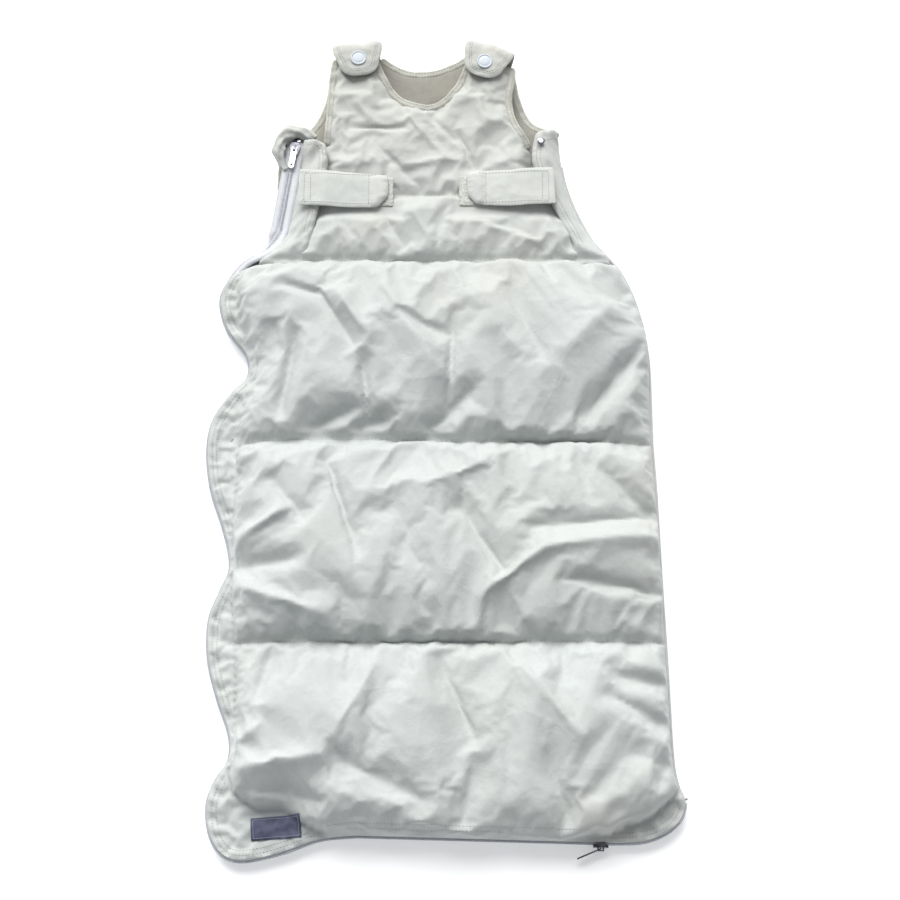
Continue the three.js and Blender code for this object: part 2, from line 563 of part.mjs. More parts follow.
// Press-stud pieces, turned about their own axis; each profile gives [radius, height].
const CAP = [[0, TAB.bottom], [2.2, TAB.bottom], [2.2, 36.3], [7.2, 36.3], [7.8, 36.9], [7.4, 38],
  [4, 38.8], [0, 39]];
const SOCKET = [[4, 30.2], [6.4, 30.2], [6.4, 32.1], [4, 32.1], [4, 30.2]];
const STUD = [[0, 27.6], [1.7, 27.6], [1.7, 29.1], [5.4, 29.1], [5.4, 29.8], [2.2, 29.9], [2.6, 30.6],
  [2.4, 31.5], [1.6, 31.9], [0, 31.9]];
const POST = [[0, 16.2], [5.2, 16.2], [5.2, 17.1], [1.7, 17.2], [1.7, 27.3], [0, 27.3]];
for (const { side, x, y, turn, stud } of TAB_SIDES) {
  const place = new THREE.Matrix4().makeRotationZ(THREE.MathUtils.degToRad(turn));
  place.setPosition(x, y, 0);
  const atStud = place.clone().multiply(new THREE.Matrix4().makeTranslation(0, -stud, 0));
  node(`shoulder_tab_${side}`, tabBody(stud), COTTON, place);
  const half = TAB.width / 2 - 1;
  node(`shoulder_${side}`, box(-half, half, -2, TAB.wall, 0, TAB.axisZ), COTTON, place);
  node(`snap_cap_${side}`, turnedDisc(CAP), STUD_PLASTIC, atStud);
  node(`snap_socket_${side}`, turnedDisc(SOCKET), METAL, atStud);
  node(`snap_stud_${side}`, turnedDisc(STUD), METAL, atStud);
  node(`snap_post_${side}`, turnedDisc(POST), METAL, atStud);
}

// ---------------------------------------------------------------- side straps
function strapProfile() {
  const { seam, end, thick, high, low } = STRAP;
  return new THREE.Shape(
    vectors([[-seam, high], [-108, high], [-94, low], [-end, low], [-end, low + thick],
      [-93, low + thick], [-107, high + thick], [-seam, high + thick]]),
  );
}
// The profile is drawn in x and z; the strap's width runs along y.
const alongY = (shape, width) =>
  new THREE.ExtrudeGeometry(shape, { depth: width, bevelEnabled: false })
    .rotateX(Math.PI / 2).translate(0, width / 2, 0);
const STRAP_SIDES = [
  { side: "left", y: 230, mirror: 1, shift: 0, turn: 0.012 },
  { side: "right", y: 232, mirror: -1, shift: -27, turn: -0.03 },
];
for (const { side, y, mirror, shift, turn } of STRAP_SIDES) {
  const place = new THREE.Matrix4().makeTranslation(shift, y, 0)
    .multiply(new THREE.Matrix4().makeRotationZ(turn))
    .multiply(mirror > 0 ? new THREE.Matrix4() : new THREE.Matrix4().makeRotationZ(Math.PI));
  node(`strap_${side}`, alongY(strapProfile(), STRAP.width), COTTON, place);
  node(`hook_patch_${side}`, box(-85, -57, -14, 14, 32.7, 33.9), HOOK_LOOP, place);
  node(`loop_patch_${side}`, box(-89, -45, -15, 15, 31.2, 32.4), HOOK_LOOP, place);
}
node(
  "underarm_snap", turnedDisc([[0, 38.3], [3.6, 38.3], [3.6, 39], [2.2, 39.6], [0, 39.7]], 14), METAL,
  new THREE.Matrix4().makeTranslation(96, 279, 0),
);

// The frame's origin is the middle of the overall outline, on the surface that the bag lies on.
bag.position.set(-0.45, -1.05, 0);
export default bag;
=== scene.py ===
# The looks of a padded baby sleeping bag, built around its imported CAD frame. Runs in Blender 4.5.
# Lengths are in millimetres until a mesh is made, in the row frame: +X right, +Y to the shoulders, +Z up.
import math

import bmesh
import bpy
import numpy as np
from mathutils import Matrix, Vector, geometry, noise
from mathutils.bvhtree import BVHTree
from mathutils.kdtree import KDTree


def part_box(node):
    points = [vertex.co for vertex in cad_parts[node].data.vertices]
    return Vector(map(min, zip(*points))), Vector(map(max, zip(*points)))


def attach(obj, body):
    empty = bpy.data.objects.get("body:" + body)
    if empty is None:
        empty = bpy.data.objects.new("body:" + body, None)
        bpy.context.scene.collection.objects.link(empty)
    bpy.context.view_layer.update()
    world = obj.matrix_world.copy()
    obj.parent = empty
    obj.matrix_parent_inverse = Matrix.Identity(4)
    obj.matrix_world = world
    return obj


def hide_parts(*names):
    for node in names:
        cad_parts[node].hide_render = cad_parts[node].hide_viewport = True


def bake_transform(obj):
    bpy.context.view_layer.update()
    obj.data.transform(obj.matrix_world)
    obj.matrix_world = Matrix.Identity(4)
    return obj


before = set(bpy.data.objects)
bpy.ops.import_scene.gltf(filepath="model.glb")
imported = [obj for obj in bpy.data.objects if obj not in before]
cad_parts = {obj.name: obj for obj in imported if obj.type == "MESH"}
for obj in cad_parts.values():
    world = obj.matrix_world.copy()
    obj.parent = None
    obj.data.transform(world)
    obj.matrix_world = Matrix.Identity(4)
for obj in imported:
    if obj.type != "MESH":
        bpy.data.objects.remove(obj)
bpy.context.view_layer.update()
MM = 0.001
SHIFT = np.array([-0.45, -1.05])  # from the drawing's origin to the frame's

# ------------------------------------------------------------------ camera
ELEVATION = math.radians(72)
DISTANCE = 1.6
LENS = 70.4
TARGET = Vector((0.00855, -0.02805, 0.025))
camera = bpy.data.objects.new("camera", bpy.data.cameras.new("camera"))
bpy.context.scene.collection.objects.link(camera)
back = Vector((0, -math.cos(ELEVATION), math.sin(ELEVATION)))
camera.location = TARGET + back * DISTANCE
camera.rotation_euler = back.to_track_quat("Z", "Y").to_euler()
camera.data.lens = LENS
camera.data.clip_start = 0.05
bpy.context.scene.camera = camera


# ------------------------------------------------------------------ plane geometry
def drawn(points):
    """Points of the drawing, in the frame."""
    return np.array(points, float) + SHIFT


def cad_outline(name):
    """The outline, seen from above, of a CAD node's top face, in mm."""
    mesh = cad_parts[name].data
    edges = set()
    for face in mesh.polygons:
        if face.normal.z > 0.9:
            corners = [mesh.vertices[i].co for i in face.vertices]
            ring = [(round(c.x * 1e5), round(c.y * 1e5)) for c in corners]
            edges.update(zip(ring, ring[1:] + ring[:1]))
    following = {a: b for a, b in edges if (b, a) not in edges}
    start = min(following)
    ring = [start]
    while following[ring[-1]] != start:
        ring.append(following[ring[-1]])
    return np.array(ring) / 100.0


def catmull(points, divisions):
    """A smooth line through the points."""
    out = []
    n = len(points)
    for i in range(n - 1):
        a, b, c, d = points[max(i - 1, 0)], points[i], points[i + 1], points[min(i + 2, n - 1)]
        for k in range(divisions):
            t = k / divisions
            out.append(0.5 * (2 * b + (c - a) * t + (2 * a - 5 * b + 4 * c - d) * t * t
                              + (3 * b - a - 3 * c + d) * t ** 3))
    out.append(points[-1])
    return np.array(out)


def evenly(points, step):
    """Points along a polyline at about the same step, ends kept."""
    points = np.asarray(points, float)
    reach = np.concatenate([[0], np.cumsum(np.linalg.norm(np.diff(points, axis=0), axis=1))])
    count = max(1, round(reach[-1] / step))
    at = np.linspace(0, reach[-1], count + 1)
    return np.stack([np.interp(at, reach, points[:, k]) for k in range(points.shape[1])], axis=1)


def smooth_ring(ring, step, corner=38):
    """A closed outline resampled at a step, smooth between its sharp corners."""
    ring = np.asarray(ring, float)
    ahead = np.roll(ring, -1, axis=0) - ring
    behind = ring - np.roll(ring, 1, axis=0)
    turn = np.abs(np.degrees(np.arctan2(behind[:, 0] * ahead[:, 1] - behind[:, 1] * ahead[:, 0],
                                        (behind * ahead).sum(1))))
    corners = [i for i in range(len(ring)) if turn[i] > corner] or [0]
    out = []
    for a, b in zip(corners, corners[1:] + [corners[0] + len(ring)]):
        run = ring[np.arange(a, b + 1) % len(ring)]
        out.extend(evenly(catmull(run, 6), step)[:-1])
    return np.array(out)


def distance_to(points, line, closed=False):
    """Distance from each point to a polyline."""
    points = np.asarray(points, float)
    line = np.asarray(line, float)
    a = line if closed else line[:-1]
    b = np.roll(line, -1, axis=0) if closed else line[1:]
    best = np.full(len(points), 1e9)
    for p, q in zip(a, b):
        d = q - p
        t = np.clip(((points - p) @ d) / max(d @ d, 1e-9), 0, 1)
        best = np.minimum(best, np.linalg.norm(points - (p + t[:, None] * d), axis=1))
    return best


def inside(points, ring):
    points = np.asarray(points, float)
    result = np.zeros(len(points), bool)
    for (x1, y1), (x2, y2) in zip(ring, np.roll(ring, -1, axis=0)):
        if y1 == y2:
            continue
        crosses = (y1 > points[:, 1]) != (y2 > points[:, 1])
        result ^= crosses & (points[:, 0] < (x2 - x1) * (points[:, 1] - y1) / (y2 - y1) + x1)
    return result


def offset_line(line, distance):
    """A polyline moved to the left of its direction."""
    line = np.asarray(line, float)
    t = np.gradient(line, axis=0)
    t /= np.linalg.norm(t, axis=1)[:, None]
    return line + distance * np.stack([-t[:, 1], t[:, 0]], axis=1)


def smoothstep(low, high, value):
    t = np.clip((np.asarray(value, float) - low) / (high - low), 0, 1)
    return t * t * (3 - 2 * t)


def rounded(d, radius):
    """A quarter circle: 0 at an edge, growing to 1 at the radius."""
    return np.sqrt(np.clip(1 - (1 - np.clip(d / radius, 0, 1)) ** 2, 0, 1))


def evenly_up(d, reach):
    """0 at an edge, growing evenly to 1 at the reach."""
    return np.clip(d / reach, 0, 1)


def groove(d, width):
    """1 on a line, falling off to nothing a few widths away from it."""
    return np.exp(-(d / width) ** 2)


def noise_at(x, y, z):
    """Smooth noise, about -1 to 1, at each place of arrays that broadcast together."""
    return np.array([noise.noise(Vector(place)) for place in np.broadcast(x, y, z)])


def roughly(points, size, seed=0):
    """Smooth noise of the given feature size, about -1 to 1, at each plan point."""
    return noise_at(points[:, 0] / size, points[:, 1] / size, seed * 7.31)


# ------------------------------------------------------------------ meshes
def link(name, data):
    obj = bpy.data.objects.new(name, data)
    bpy.context.scene.collection.objects.link(obj)
    return obj


def make(name, vertices, faces, material=None, smooth=True):
    """An object from vertices in mm."""
    mesh = bpy.data.meshes.new(name)
    places = [tuple(float(c) * MM for c in v) for v in vertices]
    mesh.from_pydata(places, [], [tuple(map(int, f)) for f in faces])
    mesh.validate()
    if smooth:
        mesh.polygons.foreach_set("use_smooth", [True] * len(mesh.polygons))
    if material:
        mesh.materials.append(material)
    mesh.update()
    return link(name, mesh)


def triangulate(ring, step, chains=()):
    """Plan points and triangles of about one size that fill a ring, with edges along the chains."""
    low, high = ring.min(0), ring.max(0)
    rows = np.arange(low[1], high[1], step * 0.866)
    lattice = np.array([(x + (step / 2 if r % 2 else 0), y)
                        for r, y in enumerate(rows) for x in np.arange(low[0], high[0], step)])
    lattice = lattice[inside(lattice, ring)]
    keep = distance_to(lattice, ring, closed=True) > 0.6 * step
    for chain in chains:
        keep &= distance_to(lattice, chain) > 0.6 * step
    lattice = lattice[keep]
    coords = [tuple(p) for p in ring]
    edges = [(i, (i + 1) % len(ring)) for i in range(len(ring))]
    for chain in chains:
        start = len(coords)
        coords += [tuple(p) for p in chain]
        edges += [(start + i, start + i + 1) for i in range(len(chain) - 1)]
    coords += [tuple(p) for p in lattice]
    out = geometry.delaunay_2d_cdt([Vector(c) for c in coords], edges, [], 1, 1e-4, True)
    points = np.array([tuple(v) for v in out[0]])
    faces = np.array([f for f in out[2] if len(f) == 3])
    faces = faces[inside(points[faces].mean(axis=1), ring)]
    used = sorted({i for f in faces for i in f})
    index = {old: new for new, old in enumerate(used)}
    points = points[used]
    faces = np.array([[index[i] for i in f] for f in faces])
    a, b, c = (points[faces[:, k]] for k in range(3))
    area = (b[:, 0] - a[:, 0]) * (c[:, 1] - a[:, 1]) - (b[:, 1] - a[:, 1]) * (c[:, 0] - a[:, 0])
    faces[area < 0] = faces[area < 0][:, ::-1]
    return points, faces


def rim_of(faces):
    directed = {(a, b) for f in faces for a, b in zip(f, np.roll(f, -1))}
    return [(a, b) for a, b in directed if (b, a) not in directed]


def pad(name, top, bottom, faces, materials):
    """A closed piece from a top and a bottom sheet over the same triangles."""
    n = len(top)
    vertices = np.concatenate([top, bottom])
    all_faces = [tuple(f) for f in faces] + [tuple(f[::-1] + n) for f in faces]
    rim = rim_of(faces)
    all_faces += [(b, a, a + n, b + n) for a, b in rim]
    obj = make(name, vertices, all_faces)
    for material in materials:
        obj.data.materials.append(material)
    index = [0] * len(faces) + [min(1, len(materials) - 1)] * len(faces) + [0] * len(rim)
    obj.data.polygons.foreach_set("material_index", index)
    obj.data.update()
    return obj


def relax_cloth(vertices, faces, pins, pressure, shrink, bending, cap, frames=24, stiffness=12):
    """Cloth simulation of an open sheet. Pins go from 0 (free) to 1 (fixed); the cap limits each move."""
    obj = make("cloth_work", vertices, faces)
    group = obj.vertex_groups.new(name="pin")
    for i, w in enumerate(pins):
        if w > 0:
            group.add([i], float(w), "REPLACE")
    cloth = obj.modifiers.new("cloth", "CLOTH")
    s = cloth.settings
    s.quality = 5
    s.mass = 0.15
    s.tension_stiffness = s.compression_stiffness = stiffness
    s.shear_stiffness = stiffness * 0.4
    s.bending_stiffness = bending
    s.tension_damping = s.compression_damping = s.shear_damping = 8
    s.vertex_group_mass = "pin"
    s.pin_stiffness = 5
    s.use_pressure = True
    s.uniform_pressure_force = pressure
    s.shrink_min = shrink
    s.effector_weights.gravity = 0
    s.air_damping = 4
    cloth.collision_settings.use_collision = False
    cloth.collision_settings.use_self_collision = False
    cloth.point_cache.frame_start = 1
    cloth.point_cache.frame_end = frames
    scene = bpy.context.scene
    scene.frame_start, scene.frame_end = 1, max(scene.frame_end, frames)
    for f in range(1, frames + 1):
        scene.frame_set(f)
    done = obj.evaluated_get(bpy.context.evaluated_depsgraph_get()).data
    out = np.empty(len(vertices) * 3)
    done.vertices.foreach_get("co", out)
    out = out.reshape(-1, 3) / MM
    mesh = obj.data
    bpy.data.objects.remove(obj)
    bpy.data.meshes.remove(mesh)
    scene.frame_set(1)
    move = out - vertices
    length = np.linalg.norm(move, axis=1)
    move *= (cap * np.tanh(length / cap) / np.maximum(length, 1e-9))[:, None]
    return vertices + move


def subdivide(obj):
    modifier = obj.modifiers.new("subdivision", "SUBSURF")
    modifier.levels = modifier.render_levels = 1
    modifier.boundary_smooth = "PRESERVE_CORNERS"
    mesh = bpy.data.meshes.new_from_object(obj.evaluated_get(bpy.context.evaluated_depsgraph_get()))
    obj.modifiers.clear()
    old = obj.data
    obj.data = mesh
    mesh.name = obj.name
    bpy.data.meshes.remove(old)
    mesh.polygons.foreach_set("use_smooth", [True] * len(mesh.polygons))


def facing_out(obj):
    """Joins vertices in one place and turns every face outwards."""
    bm = bmesh.new()
    bm.from_mesh(obj.data)
    bmesh.ops.remove_doubles(bm, verts=bm.verts, dist=1e-6)
    bmesh.ops.recalc_face_normals(bm, faces=bm.faces)
    bm.to_mesh(obj.data)
    bm.free()
    return obj


def tube(name, vertices, n, material):
    """A tube with closed ends from rings of n vertices each."""
    last = len(vertices) - n
    faces = [(o + k, o + (k + 1) % n, o + n + (k + 1) % n, o + n + k)
             for o in range(0, last, n) for k in range(n)]
    faces += [tuple(range(n))[::-1], tuple(range(last, len(vertices)))]
    return facing_out(make(name, vertices, faces, material))


def sweep(name, path, sections, material):
    """A tube along a path: sections is one list of (side, up) points, or one for each point of the path."""
    path = np.asarray(path, float)
    tangent = np.gradient(path, axis=0)
    tangent /= np.linalg.norm(tangent, axis=1)[:, None]
    side = np.cross(tangent, [0, 0, 1.0])
    side /= np.linalg.norm(side, axis=1)[:, None]
    up = np.cross(side, tangent)
    if not isinstance(sections[0][0], tuple):
        sections = [sections] * len(path)
    vertices = [p + s * a + u * b for p, s, u, section in zip(path, side, up, sections) for a, b in section]
    return tube(name, vertices, len(sections[0]), material)


def oval(width, height, count=10):
    return [(width / 2 * math.cos(a), height / 2 * math.sin(a))
            for a in (2 * math.pi * k / count for k in range(count))]


class Surface:
    """Heights of a finished piece, for laying stitches and trims on it."""

    def __init__(self, obj):
        self.tree = BVHTree.FromObject(obj, bpy.context.evaluated_depsgraph_get())

    def z(self, x, y, default=15.0):
        hit = self.tree.ray_cast(Vector((x * MM, y * MM, 0.2)), Vector((0, 0, -1)))
        return hit[0].z / MM if hit[0] else default


# ------------------------------------------------------------------ materials
class Nodes:
    """A new Principled material and short ways to add nodes to it."""

    def __init__(self, name, color, roughness, metallic=0.0):
        self.material = bpy.data.materials.new(name)
        self.material.use_nodes = True
        self.tree = self.material.node_tree
        self.shader = self.tree.nodes["Principled BSDF"]
        self.shader.inputs["Base Color"].default_value = (*color, 1)
        self.shader.inputs["Roughness"].default_value = roughness
        self.shader.inputs["Metallic"].default_value = metallic
        self.coords = self.tree.nodes.new("ShaderNodeTexCoord").outputs["Object"]

    def add(self, kind, inputs=None, **settings):
        node = self.tree.nodes.new(kind)
        for key, value in settings.items():
            setattr(node, key, value)
        for key, value in (inputs or {}).items():
            if isinstance(value, bpy.types.NodeSocket):
                self.tree.links.new(value, node.inputs[key])
            else:
                node.inputs[key].default_value = value
        return node

    def noise(self, scale, detail=3.0, roughness=0.55, distortion=0.0, more=None, **settings):
        inputs = {"Vector": self.coords, "Scale": scale, "Detail": detail, "Roughness": roughness,
                  "Distortion": distortion}
        return self.add("ShaderNodeTexNoise", {**inputs, **(more or {})}, **settings).outputs["Fac"]

    def wave(self, direction, pitch, distortion=0.6):
        """Bands with a pitch in mm."""
        inputs = {"Vector": self.coords, "Scale": 2 * math.pi / (20 * pitch * MM),
                  "Distortion": distortion, "Detail": 1.0, "Detail Scale": 0.6}
        node = self.add("ShaderNodeTexWave", inputs, wave_type="BANDS", bands_direction=direction)
        return node.outputs["Fac"]

    def math(self, operation, a, b=0.0):
        return self.add("ShaderNodeMath", {0: a, 1: b}, operation=operation).outputs[0]

    def mix(self, factor, a, b):
        node = self.add("ShaderNodeMix", data_type="RGBA")
        for key, value in ((0, factor), (6, a), (7, b)):
            if isinstance(value, bpy.types.NodeSocket):
                self.tree.links.new(value, node.inputs[key])
            else:
                node.inputs[key].default_value = value if key == 0 else (*value, 1)
        return node.outputs[2]

    def ramp(self, factor, low, high):
        node = self.add("ShaderNodeMapRange", {0: factor, 1: low, 2: high})
        node.clamp = True
        return node.outputs[0]

    def bump(self, height, distance, strength=1.0, under=None):
        inputs = {"Height": height, "Distance": distance * MM, "Strength": strength}
        if under:
            inputs["Normal"] = under
        return self.add("ShaderNodeBump", inputs).outputs["Normal"]

    def link(self, socket, name):
        self.tree.links.new(socket, self.shader.inputs[name])

    def two_tones(self, pattern, low, high, first, second):
        """The base colour goes from the first tone to the second as the pattern goes from low to high."""
        self.link(self.mix(self.ramp(pattern, low, high), first, second), "Base Color")

    def uneven_roughness(self, pattern, spread, base):
        self.link(self.math("ADD", self.math("MULTIPLY", pattern, spread), base), "Roughness")


def woven(name, color, shade, warm, pitch=0.75, crumple=1.0):
    """Plain-weave cloth: threads both ways, slubs, creases that never ironed out and uneven ageing."""
    n = Nodes(name, color, 0.9)
    slub = n.noise(420, 2, 0.6)
    threads = n.math("MULTIPLY", n.math("ADD", n.wave("X", pitch), n.wave("Y", pitch)), 0.5)
    threads = n.math("ADD", n.math("MULTIPLY", threads, 0.6), n.math("MULTIPLY", slub, 0.8))
    creases = n.math("ADD", n.math("MULTIPLY", n.noise(38, 4, 0.6, 0.8), 0.75),
                     n.math("MULTIPLY", n.noise(120, 3, 0.6, 0.4), 0.25))
    ridges = n.noise(15, 2.4, 0.5, 0.1, {"Offset": 1.0, "Gain": 1.4}, noise_type="RIDGED_MULTIFRACTAL")
    normal = n.bump(creases, 1.6 * crumple, 0.55, n.bump(ridges, 2.2 * crumple, 0.5))
    n.link(n.bump(threads, 0.16, 0.5, normal), "Normal")
    head = n.add("ShaderNodeSeparateXYZ", {0: n.coords}).outputs[1]
    near_head = n.math("MULTIPLY", n.ramp(head, 0.1, 0.38), 0.8)
    age = n.math("ADD", n.ramp(n.noise(7, 3, 0.6), 0.5, 1.0), near_head)
    age.node.use_clamp = True
    aged = n.mix(age, color, warm)
    fibre = n.mix(n.ramp(n.noise(260, 3, 0.7), 0.3, 0.75), shade, (1, 1, 1))
    blend = n.add("ShaderNodeMix", data_type="RGBA", blend_type="MULTIPLY")
    blend.inputs[0].default_value = 1.0
    n.tree.links.new(aged, blend.inputs[6])
    n.tree.links.new(fibre, blend.inputs[7])
    n.link(blend.outputs[2], "Base Color")
    n.uneven_roughness(n.noise(90, 2), 0.12, 0.84)
    n.shader.inputs["Sheen Weight"].default_value = 0.25
    n.shader.inputs["Sheen Roughness"].default_value = 0.45
    n.shader.inputs["Specular IOR Level"].default_value = 0.25
    return n.material


COTTON = woven("cotton", (0.575, 0.60, 0.59), (0.93, 0.93, 0.93), (0.575, 0.575, 0.53))
# The straps' cloth is the shell cotton made lighter: painted light, standing in for the light on the raised
# straps.
STRAP = woven("strap_cotton_painted_light", (0.63, 0.655, 0.635), (0.93, 0.93, 0.93), (0.635, 0.64, 0.595))
LINING = woven("lining", (0.38, 0.365, 0.325), (0.9, 0.9, 0.9), (0.34, 0.325, 0.285),
               pitch=0.6, crumple=1.4)
BINDING = woven("binding", (0.60, 0.605, 0.565), (0.84, 0.84, 0.82), (0.56, 0.555, 0.50),
                pitch=0.6, crumple=2.2)
TAPE = woven("zip_tape", (0.72, 0.735, 0.76), (0.88, 0.88, 0.90), (0.69, 0.705, 0.73),
             pitch=1.1, crumple=0.2)
THREAD = woven("thread", (0.44, 0.445, 0.42), (0.85, 0.85, 0.85), (0.42, 0.42, 0.38),
               pitch=0.3, crumple=0.1)
BORDER = woven("label_border", (0.52, 0.54, 0.70), (0.9, 0.9, 0.9), (0.48, 0.50, 0.66),
               pitch=0.4, crumple=0.1)


def plastic_coil():
    n = Nodes("zip_coil", (0.62, 0.63, 0.69), 0.38)
    n.two_tones(n.noise(300, 2), 0.35, 0.7, (0.56, 0.57, 0.63), (0.72, 0.73, 0.78))
    n.link(n.bump(n.noise(900, 2), 0.05, 0.4), "Normal")
    n.shader.inputs["Coat Weight"].default_value = 0.2
    return n.material


def nickel(name, light):
    n = Nodes(name, light, 0.2, 1.0)
    n.two_tones(n.noise(180, 4, 0.7, 1.0), 0.45, 0.75, light, tuple(c * 0.35 for c in light))
    n.uneven_roughness(n.noise(500, 3, 0.7), 0.25, 0.1)
    n.link(n.bump(n.noise(700, 3), 0.04, 0.3), "Normal")
    return n.material


def stud_plastic():
    n = Nodes("stud_cap", (0.62, 0.66, 0.73), 0.22)
    n.two_tones(n.noise(120, 3), 0.4, 0.7, (0.60, 0.645, 0.70), (0.55, 0.60, 0.66))
    n.uneven_roughness(n.noise(350, 3), 0.2, 0.36)
    n.shader.inputs["Coat Weight"].default_value = 0.12
    n.shader.inputs["Coat Roughness"].default_value = 0.3
    return n.material


def hook_loop(name, color, scale):
    n = Nodes(name, color, 0.95)
    cells = n.add("ShaderNodeTexVoronoi", {"Vector": n.coords, "Scale": scale}).outputs["Distance"]
    n.link(n.bump(cells, 0.7, 1.0, n.bump(n.noise(scale * 0.7, 3, 0.7), 0.6, 0.8)), "Normal")
    n.two_tones(cells, 0.0, 0.6, color, tuple(c * 0.72 for c in color))
    n.shader.inputs["Sheen Weight"].default_value = 0.3
    return n.material


def label_cloth():
    """The slate ground of a satin-woven label, with no lettering."""
    n = Nodes("label_cloth", (0.22, 0.24, 0.42), 0.6)
    rib = n.math("ADD", n.wave("X", 0.5, 0.2), n.wave("Y", 0.9, 0.2))
    n.link(n.bump(rib, 0.12, 0.6, n.bump(n.noise(60, 3), 1.0, 0.5)), "Normal")
    n.two_tones(n.noise(220, 3), 0.35, 0.75, (0.08, 0.087, 0.148), (0.12, 0.13, 0.205))
    n.shader.inputs["Sheen Weight"].default_value = 0.2
    return n.material


COIL = plastic_coil()
NICKEL = nickel("zip_metal", (0.42, 0.42, 0.45))
DARK_NICKEL = nickel("slider_metal", (0.13, 0.13, 0.15))
CAP = stud_plastic()
HOOK = hook_loop("hook", (0.70, 0.71, 0.66), 650)
LOOP = hook_loop("loop", (0.74, 0.75, 0.70), 480)
LABEL = label_cloth()

# ------------------------------------------------------------------ shared shape numbers, in mm
HEM_Z = 14.0  # top of the flat hem
SEAM_Z = 27.0  # top of the front along a quilting seam
SEAMS = [158 + SHIFT[1], -20 + SHIFT[1], -205 + SHIFT[1]]
WAIST = 227 + SHIFT[1]
QUILTING = [*SEAMS, WAIST]
CROWN = [47, 49, 47]  # height of each chamber, from the chest down
BACK_RING = smooth_ring(cad_outline("back_outer"), 5)
TOP_SEAM = SEAMS[0]

# The edge of the padding beside the flat hem: it meets the zip's edge where the zip is drawn in.
PUFF_EDGE = evenly(catmull(drawn([
    (-176, 172), (-187, 150), (-190, 122), (-184, 95), (-176, 68), (-174, 48), (-181, 20), (-184, -10),
    (-184, -50), (-186, -90), (-184, -132), (-184, -170), (-181, -205), (-179, -245), (-179, -284),
    (-181, -308), (-176, -332), (-158, -346), (-130, -350), (-108, -364), (-80, -369), (40, -371.5),
    (118, -371), (150, -366), (180, -354), (202, -334), (213, -318)]), 6), 6)

# Folds drawn across the three chambers: start, end, half width and height (a valley is negative).
FOLDS = [
    ((-134, 76), (-146, 4), 8, -6), ((-154, 89), (-150, 62), 6, -3), ((-147, 128), (-111, 115), 6, -4),
    ((-97, 120), (-66, 72), 13, 4), ((-108, 112), (-80, 66), 9, -4), ((-72, 54), (-66, -1), 7, -5),
    ((-76, 8), (-117, -12), 8, -5), ((-48, -1), (-80, -12), 7, -6), ((11, 96), (6, 8), 9, -4),
    ((-38, 96), (2, 78), 7, -4), ((-52, 122), (-2, 36), 16, 4), ((33, 30), (-8, -10), 9, -5),
    ((182, 66), (134, 6), 11, -4), ((160, 110), (110, 60), 14, 4), ((60, 120), (92, 60), 13, -3),
    ((-190, -124), (-134, -88), 9, 5), ((-186, -140), (-124, -134), 8, -5),
    ((-182, -156), (-100, -183), 12, 5), ((-100, -43), (-72, -128), 13, -4),
    ((200, -112), (92, -127), 11, 5), ((92, -127), (34, -168), 11, 4.5), ((190, -92), (84, -106), 10, -4),
    ((195, -163), (108, -154), 9, -4), ((-18, -71), (56, -43), 17, 3.5), ((145, -52), (192, -96), 11, -4),
    ((-150, -60), (-120, -100), 10, -4), ((20, -90), (60, -150), 14, -3.5),
    ((-188, -304), (-152, -280), 9, 5), ((-184, -318), (-98, -304), 11, 5),
    ((-180, -333), (-98, -342), 10, -4), ((-155, -254), (-145, -211), 8, -4),
    ((0, -222), (28, -290), 14, -4), ((-92, -304), (-16, -340), 13, -4),
    ((208, -245), (152, -237), 8, -4), ((210, -288), (143, -254), 9, -5),
    ((212, -322), (162, -304), 9, -4), ((91, -304), (110, -356), 11, -4),
    ((30, -310), (18, -360), 12, -3), ((70, -230), (120, -290), 15, 4),
    ((-60, -235), (-90, -290), 13, 3.5),
    # chest
    ((-41, 336), (-32, 312), 5, -2.5), ((-82, 326), (-59, 301), 6, 2.2),
    ((-86, 300), (-36, 296), 6, -2.4), ((-27, 303), (9, 262), 7, 2.6), ((-9, 311), (13, 286), 5, -2.6),
    ((14, 300), (32, 257), 7, -2.6), ((36, 331), (45, 291), 6, 2.4), ((-55, 272), (-18, 236), 7, -2.6),
    ((-44, 256), (4, 264), 6, 2.4), ((48, 300), (60, 268), 6, -2.4), ((-70, 350), (-62, 322), 5, 2),
    ((-98, 300), (-92, 268), 6, -2.2),
    # waist
    ((-109, 212), (-78, 178), 6, -3.4), ((-88, 217), (-60, 189), 6, 2.8), ((-62, 219), (-36, 173), 8, -3),
    ((-124, 168), (-98, 188), 6, 2.8), ((12, 207), (74, 188), 7, -2.8), ((100, 207), (126, 176), 6, -3),
    ((30, 196), (96, 172), 7, 2.4), ((-30, 210), (-8, 176), 7, 2.4), ((84, 214), (60, 196), 6, -2.4),
]

# The side panels seen from above; each starts with its inner edge, which lies over the chest.
WING_LEFT = drawn([(-110, 279), (-107.5, 262), (-109.5, 240), (-115, 212), (-121, 184), (-129, 153.5),
                   (-150, 153.5), (-171, 156), (-169, 165), (-157, 176), (-147, 188), (-143.5, 205),
                   (-139.5, 232), (-134.5, 262), (-131.5, 284), (-120, 284)])
WING_RIGHT = drawn([(90, 286), (87, 262), (94, 240), (107, 212), (122, 182), (126, 170), (125, 153.5),
                    (141, 153.5), (161, 154), (153, 174), (144, 187), (135, 203), (125.5, 226),
                    (118.5, 254), (115, 284), (111, 297), (94, 293)])
WING_INNER = [WING_LEFT[:6], WING_RIGHT[:7]]

NECKLINE = [(28, 378), (17, 349), (3, 331), (-17, 324), (-40, 334), (-55, 356), (-64, 381)]

# Where the straps lie on the chest: lowest and highest corner in plan, with a little to spare.
STRAP_BOXES = [((-136, 205), (-40, 252)), ((14, 205), (112, 254))]


